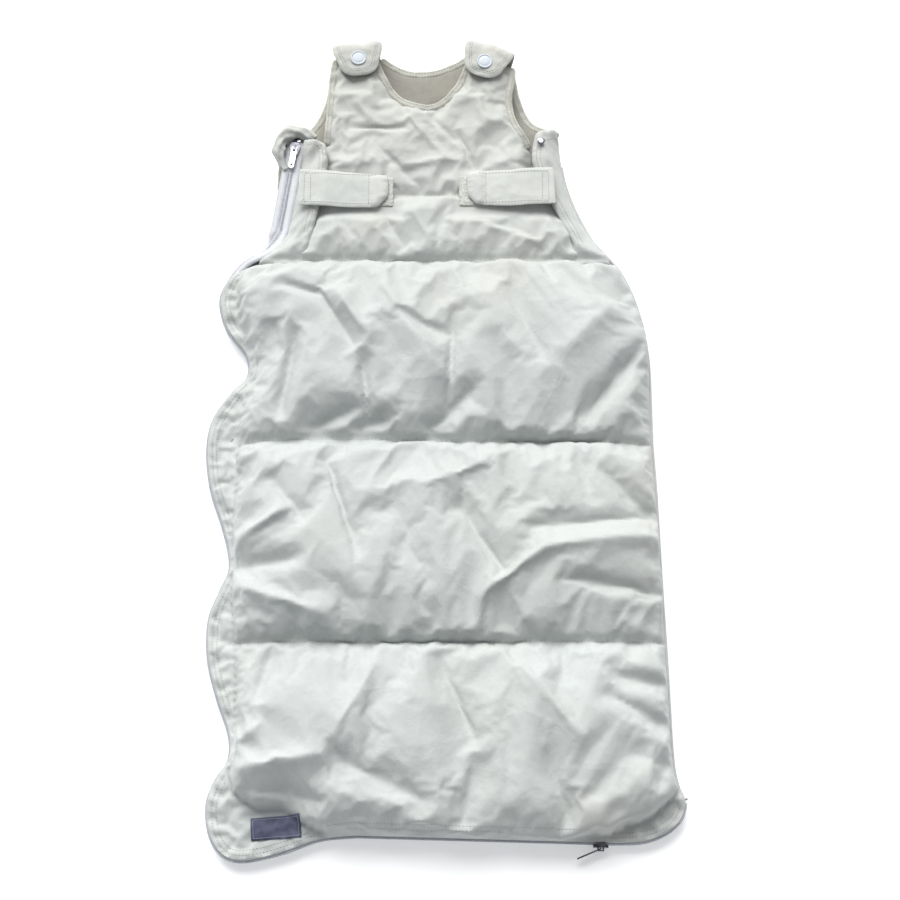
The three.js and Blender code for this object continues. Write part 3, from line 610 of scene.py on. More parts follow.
def folds_height(points):
    """The drawn folds, added up at each plan point; each one fades away past its two ends."""
    total = np.zeros(len(points))
    for (x0, y0), (x1, y1), width, height in FOLDS:
        a, b = np.array([x0, y0]) + SHIFT, np.array([x1, y1]) + SHIFT
        d = b - a
        t = ((points - a) @ d) / (d @ d)
        off = np.linalg.norm(points - (a + np.clip(t, 0, 1)[:, None] * d), axis=1)
        total += (height * np.exp(-(off / (0.8 * width)) ** 1.35)
                  * smoothstep(-0.25, 0.25, t) * (1 - smoothstep(0.8, 1.25, t)))
    return total


def puckers(points, line_y, seed, size=13, reach=15, height=3.4):
    """Short gathers that stand square to a stitched line and fade away from it."""
    d = np.abs(points[:, 1] - line_y)
    side = np.where(points[:, 1] > line_y, 0.0, 50.0)
    x = points[:, 0] + 0.35 * (points[:, 1] - line_y) * roughly(points, 60, seed + 3)
    ridge = noise_at(x / size, side + seed * 3.7, d / 40)
    fade = (1 - np.exp(-d / 3.5)) * np.exp(-d / reach)
    return height * ridge * 2 * fade


# ------------------------------------------------------------------ front quilt
HEM_INSET = 2.7  # from the back's edge to the front's, along the zip
SIDE_ROLL, FOOT_ROLL = 62, 40  # how wide the sides and the foot end round over
ARCH = 66  # from a seam to where its chamber is full
WAIST_RISE = 9
BIB_Z, BIB_RISE = 24.5, 5.5
OPEN_EDGE_Z, SIDE_EDGE_Z = 24.2, 18.5  # the chest at its bound edges, and under the side panels
UNDER_STRAP_Z = 30.6
SEAM_DEPTH, WING_DEPTH = 3.0, 4.5  # dips along a seam and beside a side panel
LAYERS = 1.4  # least thickness from the cotton to the lining


def front_ring():
    """The whole front: the lower outline from the CAD back, then the chest between the side panels."""
    ring = BACK_RING.copy()
    along_zip = (ring[:, 0] < -100) & (ring[:, 1] < 150) | (ring[:, 1] < -330)
    looped = np.concatenate([ring[-1:], ring, ring[:1]])
    ring[along_zip] = offset_line(looped, -HEM_INSET)[1:-1][along_zip]
    below = ring[:, 1] < TOP_SEAM - 2
    first = np.flatnonzero(below & ~np.roll(below, 1))[0]
    lower = np.roll(ring, -first, axis=0)[:below.sum()]
    chest = [
        [(168, 159), (152, 160), (139, 163)],
        [(139, 163), (137, 184), (121, 214), (107, 241), (98, 258), (92, 268)],
        [(89, 262), (84, 286), (72, 308), (68, 330), (71, 352), (72, 366)],
        [(72, 366), (50, 372), (28, 378)],
        NECKLINE,
        [(-64, 381), (-84, 379), (-105, 375)],
        [(-105, 375), (-108, 345), (-109, 319), (-111, 290), (-112, 280)],
        [(-118, 276), (-120, 250), (-124, 224), (-131, 196), (-142, 163)],
        [(-142, 163), (-160, 160), (-180, 159)],
    ]
    points = [*lower]
    for k, part in enumerate(chest):
        points.extend(evenly(catmull(drawn(part), 6), 5)[int(k == 1):-1])
    return np.array(points)


def edge_puckers(points, edge, size, reach, height, seed):
    """Short gathers square to an edge, strongest beside it."""
    edge = evenly(edge, 2)
    tree = KDTree(len(edge))
    for i, (a, b) in enumerate(edge):
        tree.insert((a, b, 0), i)
    tree.balance()
    out = np.zeros(len(points))
    for i, (a, b) in enumerate(points):
        _, k, d = tree.find((a, b, 0))
        if d < reach * 4:
            out[i] = noise.noise(Vector((2 * k / size, seed * 4.1, d / (reach * 2)))) * math.exp(-d / reach)
    return out * height * 2


def seam_line(y, x0, x1, seed, step=4.5):
    """A quilting seam across the bag that wanders a little."""
    xs = np.arange(x0, x1 + step / 2, step)
    line = np.stack([xs, np.full_like(xs, y)], 1)
    wander = roughly(line, 70, seed) * 2.2 + roughly(line, 16, seed + 1) * 1.1
    return np.stack([xs, y + wander], axis=1)


def build_front():
    """The quilted front, its outline and its seams. The chambers are filled by the cloth simulation."""
    ring = front_ring()
    seams = [seam_line(SEAMS[0] + 1, -136, 158, 1), seam_line(SEAMS[1], -186, 191, 2),
             seam_line(SEAMS[2], -184, 198, 3), seam_line(WAIST, -117, 106, 4)]
    points, faces = triangulate(ring, 4.0, seams)
    x, y = points[:, 0], points[:, 1]
    lower = y < TOP_SEAM
    d_edge = distance_to(points, ring, closed=True)
    d_puff = distance_to(points, PUFF_EDGE)
    beyond = drawn([(400, -318), (400, -600), (-400, -600), (-400, 172)])
    left_of = inside(points, np.concatenate([PUFF_EDGE, beyond]))
    d_right = distance_to(points, BACK_RING[(BACK_RING[:, 0] > 100) & (BACK_RING[:, 1] < TOP_SEAM + 8)])
    d_side = np.where(left_of, 0, np.minimum(d_puff, d_right))
    # The sides round over; the foot end is steeper.
    rise = rounded(d_side, SIDE_ROLL - (SIDE_ROLL - FOOT_ROLL) * smoothstep(270, 340, -y))
    crown = np.where(y > SEAMS[1], CROWN[0], np.where(y > SEAMS[2], CROWN[1], CROWN[2]))
    d_seam = np.min([np.abs(y - s) for s in SEAMS], axis=0)
    z = HEM_Z + rise * ((SEAM_Z - HEM_Z) + (crown - SEAM_Z) * rounded(d_seam, ARCH))
    # Chest: the bib is thin, the waist chamber stands between its two seams.
    d_waist = np.minimum(np.abs(y - TOP_SEAM), np.abs(y - WAIST))
    waist = SEAM_Z + WAIST_RISE * rounded(d_waist, 30)
    bib = BIB_Z + BIB_RISE * (1 - np.exp(-np.abs(y - WAIST) / 14)) * (1 - np.exp(-d_edge / 9))
    chest = np.where(y < WAIST, waist, bib)
    open_edge = (y > 262) | (np.abs(x) < 60)
    chest = np.where(open_edge, OPEN_EDGE_Z + (chest - OPEN_EDGE_Z) * rounded(d_edge, 13),
                     SIDE_EDGE_Z + (chest - SIDE_EDGE_Z) * rounded(d_edge, 24))
    z = np.where(lower, z, chest)
    # Wrinkles.
    free = np.where(lower, evenly_up(d_side, 14), 0.45 * evenly_up(d_edge, 12))
    free *= 1 - groove(d_seam, 9)
    z += folds_height(points) * free
    z += free * (2.2 * roughly(points, 55, 11) + 1.1 * roughly(points, 24, 12)) * lower
    off_edge = evenly_up(d_edge, 10)
    z += ~lower * off_edge * (1.4 * roughly(points, 30, 13) + 0.7 * roughly(points, 15, 14))
    for seed, seam in enumerate(SEAMS, 5):
        z += puckers(points, seam, seed, 11, 9, 2.6) * off_edge
        z += puckers(points, seam, seed + 20, 30, 34, 3.0) * off_edge * lower
    z += puckers(points, WAIST, 8, 9, 9, 1.8) * off_edge
    hem = left_of & lower
    z += hem * 1.1 * roughly(points * [0.5, 1.0], 8, 21) * evenly_up(d_edge, 4)
    top = np.stack([x, y, z], axis=1)
    # The stitched lines, the hem and the outline hold while the chambers fill.
    sewn = np.min([distance_to(points, s) for s in seams], axis=0)
    pins = np.where((sewn < 0.4) | (d_edge < 0.5), 1.0, 0.0)
    pins = np.maximum(pins, np.where(hem, np.clip(1 - (d_puff - 1) / 8, 0.35, 1), 0))
    pins = np.maximum(pins, np.where(lower, 0, 0.12))
    top = relax_cloth(top, faces, pins, pressure=1.5, shrink=-0.06, bending=0.12, cap=17)
    right_edge = BACK_RING[(BACK_RING[:, 0] > 110) & (BACK_RING[:, 1] < TOP_SEAM)]
    left_edge = ring[(ring[:, 0] < -60) & (ring[:, 1] < TOP_SEAM)]
    top[:, 2] += edge_puckers(points, right_edge, 12, 13, 3.4, 51) * evenly_up(d_edge, 5) * lower
    top[:, 2] += edge_puckers(points, left_edge, 6, 9, 2.3, 52) * evenly_up(d_edge, 3) * hem
    top[:, 2] += edge_puckers(points, PUFF_EDGE, 13, 11, 3.0, 53) * ~hem * evenly_up(d_edge, 5) * lower
    top[:, 2] += 0.6 * folds_height(points) * free
    for seed, seam in enumerate(QUILTING, 71):
        top[:, 2] += puckers(points, seam, seed, 6.5, 5, 1.3) * evenly_up(d_edge, 6)
    # The front stays under the straps, and dips along its seams and beside the side panels.
    for (x0, y0), (x1, y1) in STRAP_BOXES:
        away = np.max([x0 - x, x - x1, y0 - y, y - y1, 0 * x], axis=0)
        top[:, 2] = np.minimum(top[:, 2], UNDER_STRAP_Z + 0.5 * away + 0.04 * away ** 2)
    top[:, 2] -= SEAM_DEPTH * groove(sewn, 2.1) * evenly_up(d_edge, 6)
    for edge in WING_INNER:
        top[:, 2] -= WING_DEPTH * groove(distance_to(points, edge), 7) * (y > TOP_SEAM + 10)
    # Lining side: flat along the hem, quilted where there is wadding.
    inner = evenly_up(np.where(lower, d_side, d_edge), 26)
    quilted = np.minimum(d_seam, 40) / 40
    low = np.where(lower, HEM_Z - 2.2 + inner * (5.4 - 1.2 * quilted),
                   np.where(open_edge, 21.0 - 3.4 * evenly_up(d_edge, 13), 17.6))
    low += inner * 0.5 * roughly(points, 40, 31)
    low = np.minimum(low, top[:, 2] - LAYERS)
    obj = pad("front_quilt", top, np.stack([x, y, low], axis=1), faces, [COTTON, LINING])
    return obj, ring, seams


front, FRONT_RING, FRONT_SEAMS = build_front()
subdivide(front)
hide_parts("front_outer", "front_wadding", "front_lining",
            "foot_corner_outer", "foot_corner_wadding", "foot_corner_lining",
            "waist_outer", "waist_wadding", "waist_lining", "bib_outer", "bib_wadding", "bib_lining")


# ------------------------------------------------------------------ back panel
def build_back():
    points, faces = triangulate(BACK_RING, 7)
    x, y = points[:, 0], points[:, 1]
    d = distance_to(points, BACK_RING, closed=True)
    rise = rounded(d, 12)
    off_edge = evenly_up(d, 9)
    d_seam = np.min([np.abs(y - s) for s in QUILTING], axis=0)
    quilted = 1 - groove(d_seam, 14)
    high = 7.4 + rise * (2.0 + 1.2 * quilted)
    high += off_edge * (0.8 * roughly(points, 34, 41) + 0.5 * roughly(points, 15, 42))
    high += off_edge * np.sum([puckers(points, s, 43, 11, 9, 0.8) for s in QUILTING], axis=0)
    low = 2.6 * (1 - rise) + 1.6 * (1 - quilted) * rise
    low += off_edge * (0.5 + 0.5 * roughly(points, 26, 44)) * (d_seam < 30)
    obj = pad("back_quilt", np.stack([x, y, high], 1), np.stack([x, y, np.maximum(low, 0.0)], 1), faces,
              [LINING, COTTON])
    # The rim is outer cotton.
    index = np.empty(len(obj.data.polygons), int)
    obj.data.polygons.foreach_get("material_index", index)
    index[-len(rim_of(faces)):] = 1
    obj.data.polygons.foreach_set("material_index", index)
    subdivide(obj)
    return obj


back_quilt = build_back()
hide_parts("back_outer", "back_wadding", "back_lining")
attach(back_quilt, "bag")


# ------------------------------------------------------------------ padded pieces from an outline
SHARP = 50  # an outline that turns by more degrees than this has a corner there


def stitched_pad(name, ring, top_of, bottom_of, materials, step=3.5, place=None, subdivided=True):
    """A closed piece over a plan outline; its heights are worked out from points and edge distance."""
    points, faces = triangulate(np.asarray(ring, float), step)
    d = distance_to(points, ring, closed=True)
    top = np.column_stack([points, top_of(points, d)])
    bottom = np.column_stack([points, bottom_of(points, d)])
    if place:
        top, bottom = place(top), place(bottom)
    obj = pad(name, top, bottom, faces, materials)
    if subdivided:
        subdivide(obj)
    return obj


# ------------------------------------------------------------------ side panels
WING_TOP, WING_LIMIT = 36.5, 37.6  # height beside the chest, and what no fold passes
STRAP_Y, STRAP_HALF = 230, 20  # the straps' middle line and half width


def build_wing(name, outline, inner_count, outer_low, seed):
    """A side panel: outer_low is the height of its outer edge, and its inner edge lies over the chest."""
    ring = smooth_ring(outline, 3.5, SHARP)
    inner = outline[:inner_count]
    outer = outline[inner_count + 2:-2]

    def top(points, d):
        x, y = points.T
        d_outer = distance_to(points, outer)
        d_seam = np.abs(y - (TOP_SEAM + 0.5))
        z = outer_low + 5 + (WING_TOP - outer_low - 5) * rounded(d_outer, 26)
        z = np.minimum(z, SEAM_Z + 10.5 * rounded(d_seam, 34))
        z -= 2.8 * (1 - rounded(d, 3.6))
        pleats = noise_at((x + 0.35 * y * np.sign(x)) / 9, y / 45, seed)
        strap = 1 - smoothstep(0, 12, np.abs(y - STRAP_Y) - STRAP_HALF)
        z += pleats * 4.2 * (1 - 0.8 * strap) * rounded(d, 8)
        gather = noise_at((x * np.sign(x) + 0.9 * (y - 210)) / 7, y / 60, seed + 9)
        z += gather * 3.4 * smoothstep(-212, -196, -y) * (1 - smoothstep(-172, -160, -y)) * rounded(d, 7)
        z -= 1.0 * groove(d - 6.5, 1.0)
        z += 1.3 * roughly(points, 17, seed + 1) * rounded(d, 8) * (1 - strap)
        z += puckers(points, TOP_SEAM, seed + 2, 9, 10, 2.6) * rounded(d, 8)
        return np.minimum(z, WING_LIMIT)

    def bottom(points, d):
        d_outer = distance_to(points, outer)
        d_inner = distance_to(points, inner)
        z = outer_low + (20 - outer_low) * rounded(d_outer, 12)
        return np.where(d_inner < 14, np.maximum(z, 29.8 - d_inner * 0.35), z)

    def safe_bottom(points, d):
        return np.minimum(bottom(points, d), top(points, d) - 1.6)

    obj = stitched_pad(name, ring, top, safe_bottom, [COTTON, LINING], step=3.6)
    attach(obj, "bag")
    return obj


wing_left = build_wing("side_wing_left", WING_LEFT, 6, 11, 61)
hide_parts("side_panel_left")
wing_right = build_wing("side_wing_right", WING_RIGHT, 7, 7, 71)
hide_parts("side_panel_right")


# ------------------------------------------------------------------ stitches
class Stitches:
    """Short raised threads gathered into one mesh."""

    def __init__(self):
        self.vertices, self.faces = [], []

    def run(self, line, surface, pitch=3.0, length=2.1, width=0.55, lift=0.25):
        """Stitches along a line, each with its ends sunk into the surface."""
        sink, skirt, crest = 0.35, 0.15, 0.22
        line = evenly(line, pitch)
        for a, b in zip(line[:-1], line[1:]):
            d = b - a
            size = np.linalg.norm(d)
            if size < 1e-6:
                continue
            d = d / size
            n = np.array([-d[1], d[0]])
            m = (a + b) / 2
            h = length / 2
            z0, z1 = surface.z(*(m - d * h)), surface.z(*(m + d * h))
            zm = (z0 + z1) / 2
            base = len(self.vertices)
            for t, w, dz in ((-1, 0.3, -sink), (-0.6, 1, lift), (0.6, 1, lift), (1, 0.3, -sink)):
                z = zm + (z1 - z0) / 2 * t + dz
                p = m + d * h * t
                for side in (-1, 1):
                    q = p + n * width / 2 * w * side
                    self.vertices.append((q[0], q[1], z - skirt))
                self.vertices.append((p[0], p[1], z + crest * w))
            for k in range(3):
                o = base + 3 * k
                self.faces += [(o, o + 3, o + 5, o + 2), (o + 2, o + 5, o + 4, o + 1),
                               (o + 1, o + 4, o + 3, o)]
            self.faces += [(base, base + 2, base + 1), (base + 9, base + 10, base + 11)]

    def finish(self, name, slot="binding"):
        obj = make(name, self.vertices, self.faces, THREAD)
        return obj


# ------------------------------------------------------------------ bound edges
def rounded_section(width, height):
    """A rectangle with corners rounded by four points each."""
    r = min(width, height) / 2 * 0.9
    cx, cy = width / 2 - r, height / 2 - r
    corners = ((cx, cy, 0), (-cx, cy, 90), (-cx, -cy, 180), (cx, -cy, 270))
    angles = [(x, y, math.radians(start + 30 * k)) for x, y, start in corners for k in range(4)]
    return [(x + r * math.cos(a), y + r * math.sin(a)) for x, y, a in angles]


def bound_edge(name, node, line, surface, z_default, seed):
    """The folded tape round an open edge; line has the piece on its left."""
    width, height, inset = 8.0, 4.6, 2.6
    line = evenly(line, 2.6)
    centre = offset_line(line, inset)
    z = np.array([surface.z(*p, default=z_default) for p in offset_line(line, inset + 1.5)])
    z = np.convolve(np.pad(z, 2, mode="edge"), np.ones(5) / 5, mode="valid")
    path = np.column_stack([centre, z - height / 2 + 1.1])
    sections = []
    for i in range(len(centre)):
        swell = 1 + 0.14 * noise.noise(Vector((i * 0.3, seed * 5.1, 0)))
        tuck = 1 + 0.42 * noise.noise(Vector((i * 0.62, seed * 9.7, 3)))
        end = 0.55 if i in (0, len(centre) - 1) else 1
        sections.append(rounded_section(width * swell * end, height * tuck * end))
    obj = sweep(name, path, sections, BINDING)
    subdivide(obj)
    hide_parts(node)
    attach(obj, "bag")
    return obj, offset_line(line, inset + 2.2), offset_line(line, 1.0)


front_surface = Surface(front)
back_surface = Surface(back_quilt)
edge_stitches = Stitches()
for wing, edge, side_sign, hem in (
        (wing_left, WING_INNER[0][:5], -1, [(-131, 277), (-121, 277), (-112, 272)]),
        (wing_right, WING_INNER[1][:6], 1, [(93, 280), (103, 284), (113, 289)])):
    wing_surface = Surface(wing)
    for inset in (4.5, 8.0):
        edge_stitches.run(offset_line(catmull(edge, 8), side_sign * inset), wing_surface)
    edge_stitches.run(drawn(hem), wing_surface)

# Name, CAD node, line, the surface under it and the height of the line where it runs past that surface.
for name, node, line, surface, z in (
        ("neck_edge_front", "neck_binding_front", NECKLINE, front_surface, 25),
        ("arm_edge_left_front", "armhole_binding_left_front",
         [(-105, 375), (-108, 345), (-109, 319), (-111, 290), (-111.5, 282)], front_surface, 25),
        ("arm_edge_right_front", "armhole_binding_right_front",
         [(87, 279), (84, 286), (72, 308), (68, 330), (71, 352), (72, 366)], front_surface, 25),
        ("neck_edge_back", "neck_binding_back",
         [(26.6, 388.4), (15, 380), (-6, 371), (-28, 370), (-46, 377), (-58, 386.7)], back_surface, 8),
        ("arm_edge_right_back", "armhole_binding_right_back",
         [(116, 304), (100, 307), (87, 315), (77, 338), (73, 358), (71, 373.5)], back_surface, 8),
        ("arm_edge_left_back", "armhole_binding_left_back",
         [(-105, 381), (-108, 358), (-113, 333), (-123, 311), (-138, 299)], back_surface, 8)):
    edge, *stitch_lines = bound_edge(name, node, catmull(drawn(line), 8), surface, z, seed=len(name))
    for stitch_line in stitch_lines:
        edge_stitches.run(stitch_line, Surface(edge), pitch=2.9)

side = BACK_RING[(BACK_RING[:, 0] > 110) & (BACK_RING[:, 1] > -336) & (BACK_RING[:, 1] < 268)]
side = side[np.argsort(side[:, 1])]
side = evenly(side, 5)
seam_path = np.column_stack([side + [0.6, 0], np.full(len(side), 10.8)])
piping = sweep("side_piping", seam_path, oval(3.4, 3.6), COTTON)
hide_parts("side_seam")
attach(piping, "bag")


# ------------------------------------------------------------------ shoulder tabs
def build_tab(side_name, x, y, turn, seed, slant, fold_height):
    """A shoulder tab: slant and fold_height place the soft fold that runs across it."""
    ring = []
    for cx, start in ((-4, 180), (4, 270)):
        for k in range(9):
            a = math.radians(start + 90 * k / 8)
            ring.append((cx + 16 * math.cos(a), -20 + 15 * math.sin(a)))
    ring += [(24, -8), (23.8, 8), (22.5, 24), (21.5, 36), (-21.5, 36), (-22.5, 24), (-23.8, 8), (-24, -8)]
    ring = smooth_ring(ring, 3.2, 60)
    angle = math.radians(turn)
    centre = np.array([x, y]) + SHIFT
    # The band's own line in (y, z): along the front, over the fold, down to the back panel.
    track = catmull(np.array([(-40, 34.4), (-28, 34.2), (-14, 34.6), (-5, 34.0), (0.5, 31.0),
                              (3.2, 25.0), (3.4, 17.0), (2.0, 10.0), (-2.5, 6.0), (-8, 5.2)], float), 8)
    reach = np.concatenate([[0], np.cumsum(np.linalg.norm(np.diff(track, axis=0), axis=1))])
    normal = offset_line(track, 1.0) - track

    def place(vertices):
        """Bends flat points (across, along, up) round the track."""
        w, s, t = vertices.T
        at = s + 40
        px, pz = np.interp(at, reach, track[:, 0]), np.interp(at, reach, track[:, 1])
        nx, nz = np.interp(at, reach, normal[:, 0]), np.interp(at, reach, normal[:, 1])
        ly, lz = px + nx * t, pz + nz * t
        return np.column_stack([centre[0] + w * math.cos(angle) - ly * math.sin(angle),
                                centre[1] + w * math.sin(angle) + ly * math.cos(angle), lz])

    def top(points, d):
        dimple = groove(np.hypot(points[:, 0], points[:, 1] + 17), 9)
        fold = groove(points[:, 0] * 0.5 + points[:, 1] - slant, 5) * fold_height
        wrinkles = 1.5 * roughly(points, 12, seed) + 1.0 * roughly(points, 5, seed + 1) - fold * 0.6
        z = 0.4 + 1.9 * rounded(d, 6) - 0.5 * dimple - 0.5 * groove(d - 5, 1.2)
        return z + wrinkles * rounded(d, 4) * (1 - dimple)

    def bottom(points, d):
        return -0.4 - 1.3 * rounded(d, 6)

    obj = stitched_pad(f"tab_{side_name}", ring, top, bottom, [COTTON, LINING], step=3.0, place=place)
    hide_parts(f"shoulder_tab_{side_name}", f"shoulder_{side_name}")
    flat = ring[ring[:, 1] < -1]
    start = int(np.argmax(np.linalg.norm(flat - np.roll(flat, 1, axis=0), axis=1)))
    flat = np.roll(flat, -start, axis=0)
    stitches = Stitches()
    surface = Surface(obj)
    for inset in (4.6, 6.6):
        inner = offset_line(flat, inset)
        placed = place(np.column_stack([inner, np.full(len(inner), 2.0)]))[:, :2]
        stitches.run(placed, surface, pitch=2.7)
    thread = stitches.finish(f"tab_thread_{side_name}")
    a = (centre[0] * MM, centre[1] * MM, 0.011)
    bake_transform(obj)
    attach(thread, f"shoulder_tab_{side_name}")


build_tab("left", -82, 387, 7, 81, slant=3, fold_height=1.2)
build_tab("right", 49, 384.5, -19, 91, slant=-4, fold_height=2.2)


def lathe(name, centre, profile, material, segments=64):
    """A turned piece: profile is (radius, height) from its lowest point to the middle of its top."""
    vertices, faces = [], []
    n = len(profile)
    for k in range(segments):
        a = 2 * math.pi * k / segments
        vertices += [(centre[0] + r * math.cos(a), centre[1] + r * math.sin(a), z) for r, z in profile]
    for k in range(segments):
        o, q = k * n, ((k + 1) % segments) * n
        for i in range(n - 1):
            faces.append((o + i, q + i, q + i + 1, o + i + 1))
    return facing_out(make(name, vertices, faces, material))


# A stud cap from its stem up: a rolled rim round a shallow crown. Heights are above its lower face.
CAP_PROFILE = [(0, -3), (2, -3), (2.2, 0), (7.3, 0), (7.7, 0.25), (7.8, 0.7), (7.6, 1.2), (7.1, 1.6),
               (6.6, 1.65), (6.2, 1.4), (5.9, 1.05), (5.5, 1.1), (5.0, 1.35), (3.0, 1.55), (0, 1.62)]
for side_name in ("left", "right"):
    low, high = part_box(f"snap_cap_{side_name}")
    centre = ((low[0] + high[0]) / 2 / MM, (low[1] + high[1]) / 2 / MM)
    base = high[2] / MM - 2.8
    cap = lathe(f"stud_cap_{side_name}", centre, [(r, base + z) for r, z in CAP_PROFILE], CAP)
    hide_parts(f"snap_cap_{side_name}")
    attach(cap, f"shoulder_tab_{side_name}")


# ------------------------------------------------------------------ straps
# Height of a strap's lower face, from its seam (0) over the side panel to its free end (1) on the chest.
STRAP_TRACK = ([0, 0.3, 0.5, 0.72, 1.0], [38.9, 38.6, 35.6, 34.4, 34.0])


def build_strap(side_name, outline, seam_x, end_x, seed):
    """A strap from the seam that holds it to its free end."""
    ring = smooth_ring(drawn(outline), 3.2, 30)
    direction = 1 if end_x > seam_x else -1
    seam, end = seam_x + SHIFT[0], end_x + SHIFT[0]

    def along(points):
        return np.clip((points[:, 0] - seam) / (end - seam), 0, 1)

    def base(points):
        return np.interp(along(points), *STRAP_TRACK)

    def top(points, d):
        t = along(points)
        bulk = 1.5 * smoothstep(0.78, 0.86, t) * (1 - smoothstep(0.985, 1.02, t))
        ditch = 0.7 * groove(t - 0.79, 0.018) + 0.6 * groove(t - 0.07, 0.015)
        z = base(points) + 0.8 + 1.0 * rounded(d, 2.2) + bulk * rounded(d, 4) - ditch
        z -= 0.3 * groove(d - 4.5, 1.1)
        z += 0.8 * roughly(points * [0.5, 1], 17, seed) * rounded(d, 6)
        return z + 0.35 * roughly(points, 6, seed + 1) * rounded(d, 4)

    def bottom(points, d):
        return base(points) - 0.1 + 0.6 * (1 - rounded(d, 3))

    # The strap cloth is the lighter copy of the shell cotton, painted light.
    obj = stitched_pad(f"strap_cloth_{side_name}", ring, top, bottom, [STRAP, STRAP], step=3.0)
    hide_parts(f"strap_{side_name}")
    stitches = Stitches()
    surface = Surface(obj)
    y0, y1 = ring[:, 1].min() + 4.0, ring[:, 1].max() - 4.5
    sewn = [seam + direction * s for s in (5, 11)]
    for x in sewn:
        stitches.run([(x, y0 + 1), (x, y1 - 1)], surface)
    x = end - direction * 18
    stitches.run([(x, y0), (x, y1)], surface)
    for y in (y0, y1):
        stitches.run([(sewn[0], y), (end - direction * 5 - direction * 6, y)], surface)
    thread = stitches.finish(f"strap_thread_{side_name}", "cotton_shell")
    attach(obj, f"strap_{side_name}")
    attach(thread, f"strap_{side_name}")


build_strap("left", [(-134, 249), (-92, 247.5), (-50, 244.5), (-49.5, 226), (-52, 220), (-60, 211),
                     (-92, 210.5), (-135, 211.5)], -134, -50, 101)
build_strap("right", [(107.5, 251), (66, 250), (33, 249), (25, 246), (25.5, 227), (28, 221), (34, 214.5),
                      (66, 212), (109, 213)], 107.5, 25, 111)


def patch(name, node, material, body):
    """A hook or loop patch over the plan of its CAD node."""
    low, high = (Vector(c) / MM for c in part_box(node))
    ring = [(low.x, low.y), (high.x, low.y), (high.x, high.y), (low.x, high.y)]
    ring = smooth_ring(ring, 3, 60)
    obj = stitched_pad(name, ring,
                       lambda p, d: high.z - 0.6 * (1 - rounded(d, 1.6)) + 0.15 * roughly(p, 5, 7),
                       lambda p, d: low.z + 0 * d, [material], step=3.0)
    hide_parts(node)
    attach(obj, body)


for side_name in ("left", "right"):
    patch(f"hook_tape_{side_name}", f"hook_patch_{side_name}", HOOK, f"strap_{side_name}")
    patch(f"loop_tape_{side_name}", f"loop_patch_{side_name}", LOOP, "bag")

# ------------------------------------------------------------------ zip
ZIP_TOP, ZIP_UPPER_END = (-140, 290), (-154, 194)
ZIP_FOOT_START, ZIP_FOOT_END = (-70, -371), (150, -377)
ZIP_LEFT = [ZIP_UPPER_END, (-166, 178), (-186, 166), (-201, 146), (-208, 124), (-200, 95), (-182, 70),
            (-179, 50), (-195, 31), (-210, 6), (-214, -23), (-209, -61), (-196, -99), (-189, -132),
            (-197, -155), (-206, -182), (-205, -218), (-195, -254), (-184, -284), (-184, -306),
            (-194, -322), (-201, -343), (-198, -368), (-187, -386), (-168, -392), (-134, -385),
            (-102, -374), ZIP_FOOT_START]
ZIP_CORNER = [ZIP_FOOT_END, (174, -376), (194, -369), (208, -357), (213, -342)]
TAPE_START = 2.0  # from the chain's middle to the tape beside its coil
FLAT_Z, EDGE_Z = 15, 9  # the chain's middle where it lies flat, and where it stands on edge


def zip_frames(step):
    """The chain's line, the way into the bag, how far it stands on edge (0 to 1) and its height."""
    line = np.concatenate([drawn([ZIP_TOP, ZIP_UPPER_END])[:1], catmull(drawn(ZIP_LEFT), 8),
                           catmull(drawn(ZIP_CORNER), 8)])
    line = evenly(line, step)
    tangent = np.gradient(line, axis=0)
    tangent /= np.linalg.norm(tangent, axis=1)[:, None]
    inward = np.stack([-tangent[:, 1], tangent[:, 0]], axis=1)
    y = line[:, 1]
    upper = line[:, 0] < 0
    turned = np.where(upper & (y > 150), smoothstep(-(194 + SHIFT[1]), -(164 + SHIFT[1]), -y), 1.0)
    z = FLAT_Z + (EDGE_Z - FLAT_Z) * turned
    return line, inward, turned, z


def zip_point(frames, i, across, out, tape=False):
    """A tape bends flat again beside a chain that stands on edge, under the hem or on the back panel."""
    line, inward, turned, z = frames
    angle = turned[i] * math.pi / 2
    c, s = math.cos(angle), math.sin(angle)
    bend = 0.0
    if tape:
        start = math.copysign(TAPE_START, across)
        bend = (abs(across) - TAPE_START) * s
        across = start + (across - start) * c
    if tape and s > 0.5:
        plan = across * c + bend - 0.4
        rise = out * math.copysign(1, across)
    else:
        plan = across * c - out * s + bend
        rise = out * c
    return (*(line[i] + inward[i] * plan), z[i] + across * s + rise)


def zip_band(name, section, material, frames):
    """A tape along the chain; its section is in (across, out) points."""
    vertices = [zip_point(frames, i, a, o, tape=True) for i in range(len(frames[0])) for a, o in section]
    return tube(name, vertices, len(section), material)


def zip_teeth(name, side, frames):
    """One row of the coil: a small loop of wire at each pitch, standing out beyond the middle."""
    vertices, faces = [], []
    ringlets = [(-0.75, 0.35), (-0.35, 0.62), (0.6, 0.62), (2.3, 0.55), (2.9, 0.3)]
    for i in range(1, len(frames[0]) - 1):
        if i % 2 == (side > 0):
            continue
        t = frames[0][i + 1] - frames[0][i - 1]
        t = np.array([*(t / np.linalg.norm(t)), 0])
        base = len(vertices)
        for a, r in ringlets:
            for k in range(6):
                angle = math.pi * k / 3
                p = np.array(zip_point(frames, i, a * side, r * 1.9 * math.sin(angle)))
                vertices.append(tuple(p + t * r * math.cos(angle)))
        for j in range(len(ringlets) - 1):
            for k in range(6):
                o, q = base + 6 * j + k, base + 6 * j + (k + 1) % 6
                faces.append((o, q, q + 6, o + 6) if side > 0 else (o + 6, q + 6, q, o))
        cap_a, cap_b = tuple(range(base, base + 6)), tuple(range(base + 24, base + 30))
        faces += [cap_a[::-1], cap_b] if side > 0 else [cap_a, cap_b[::-1]]
    return make(name, vertices, faces, COIL)


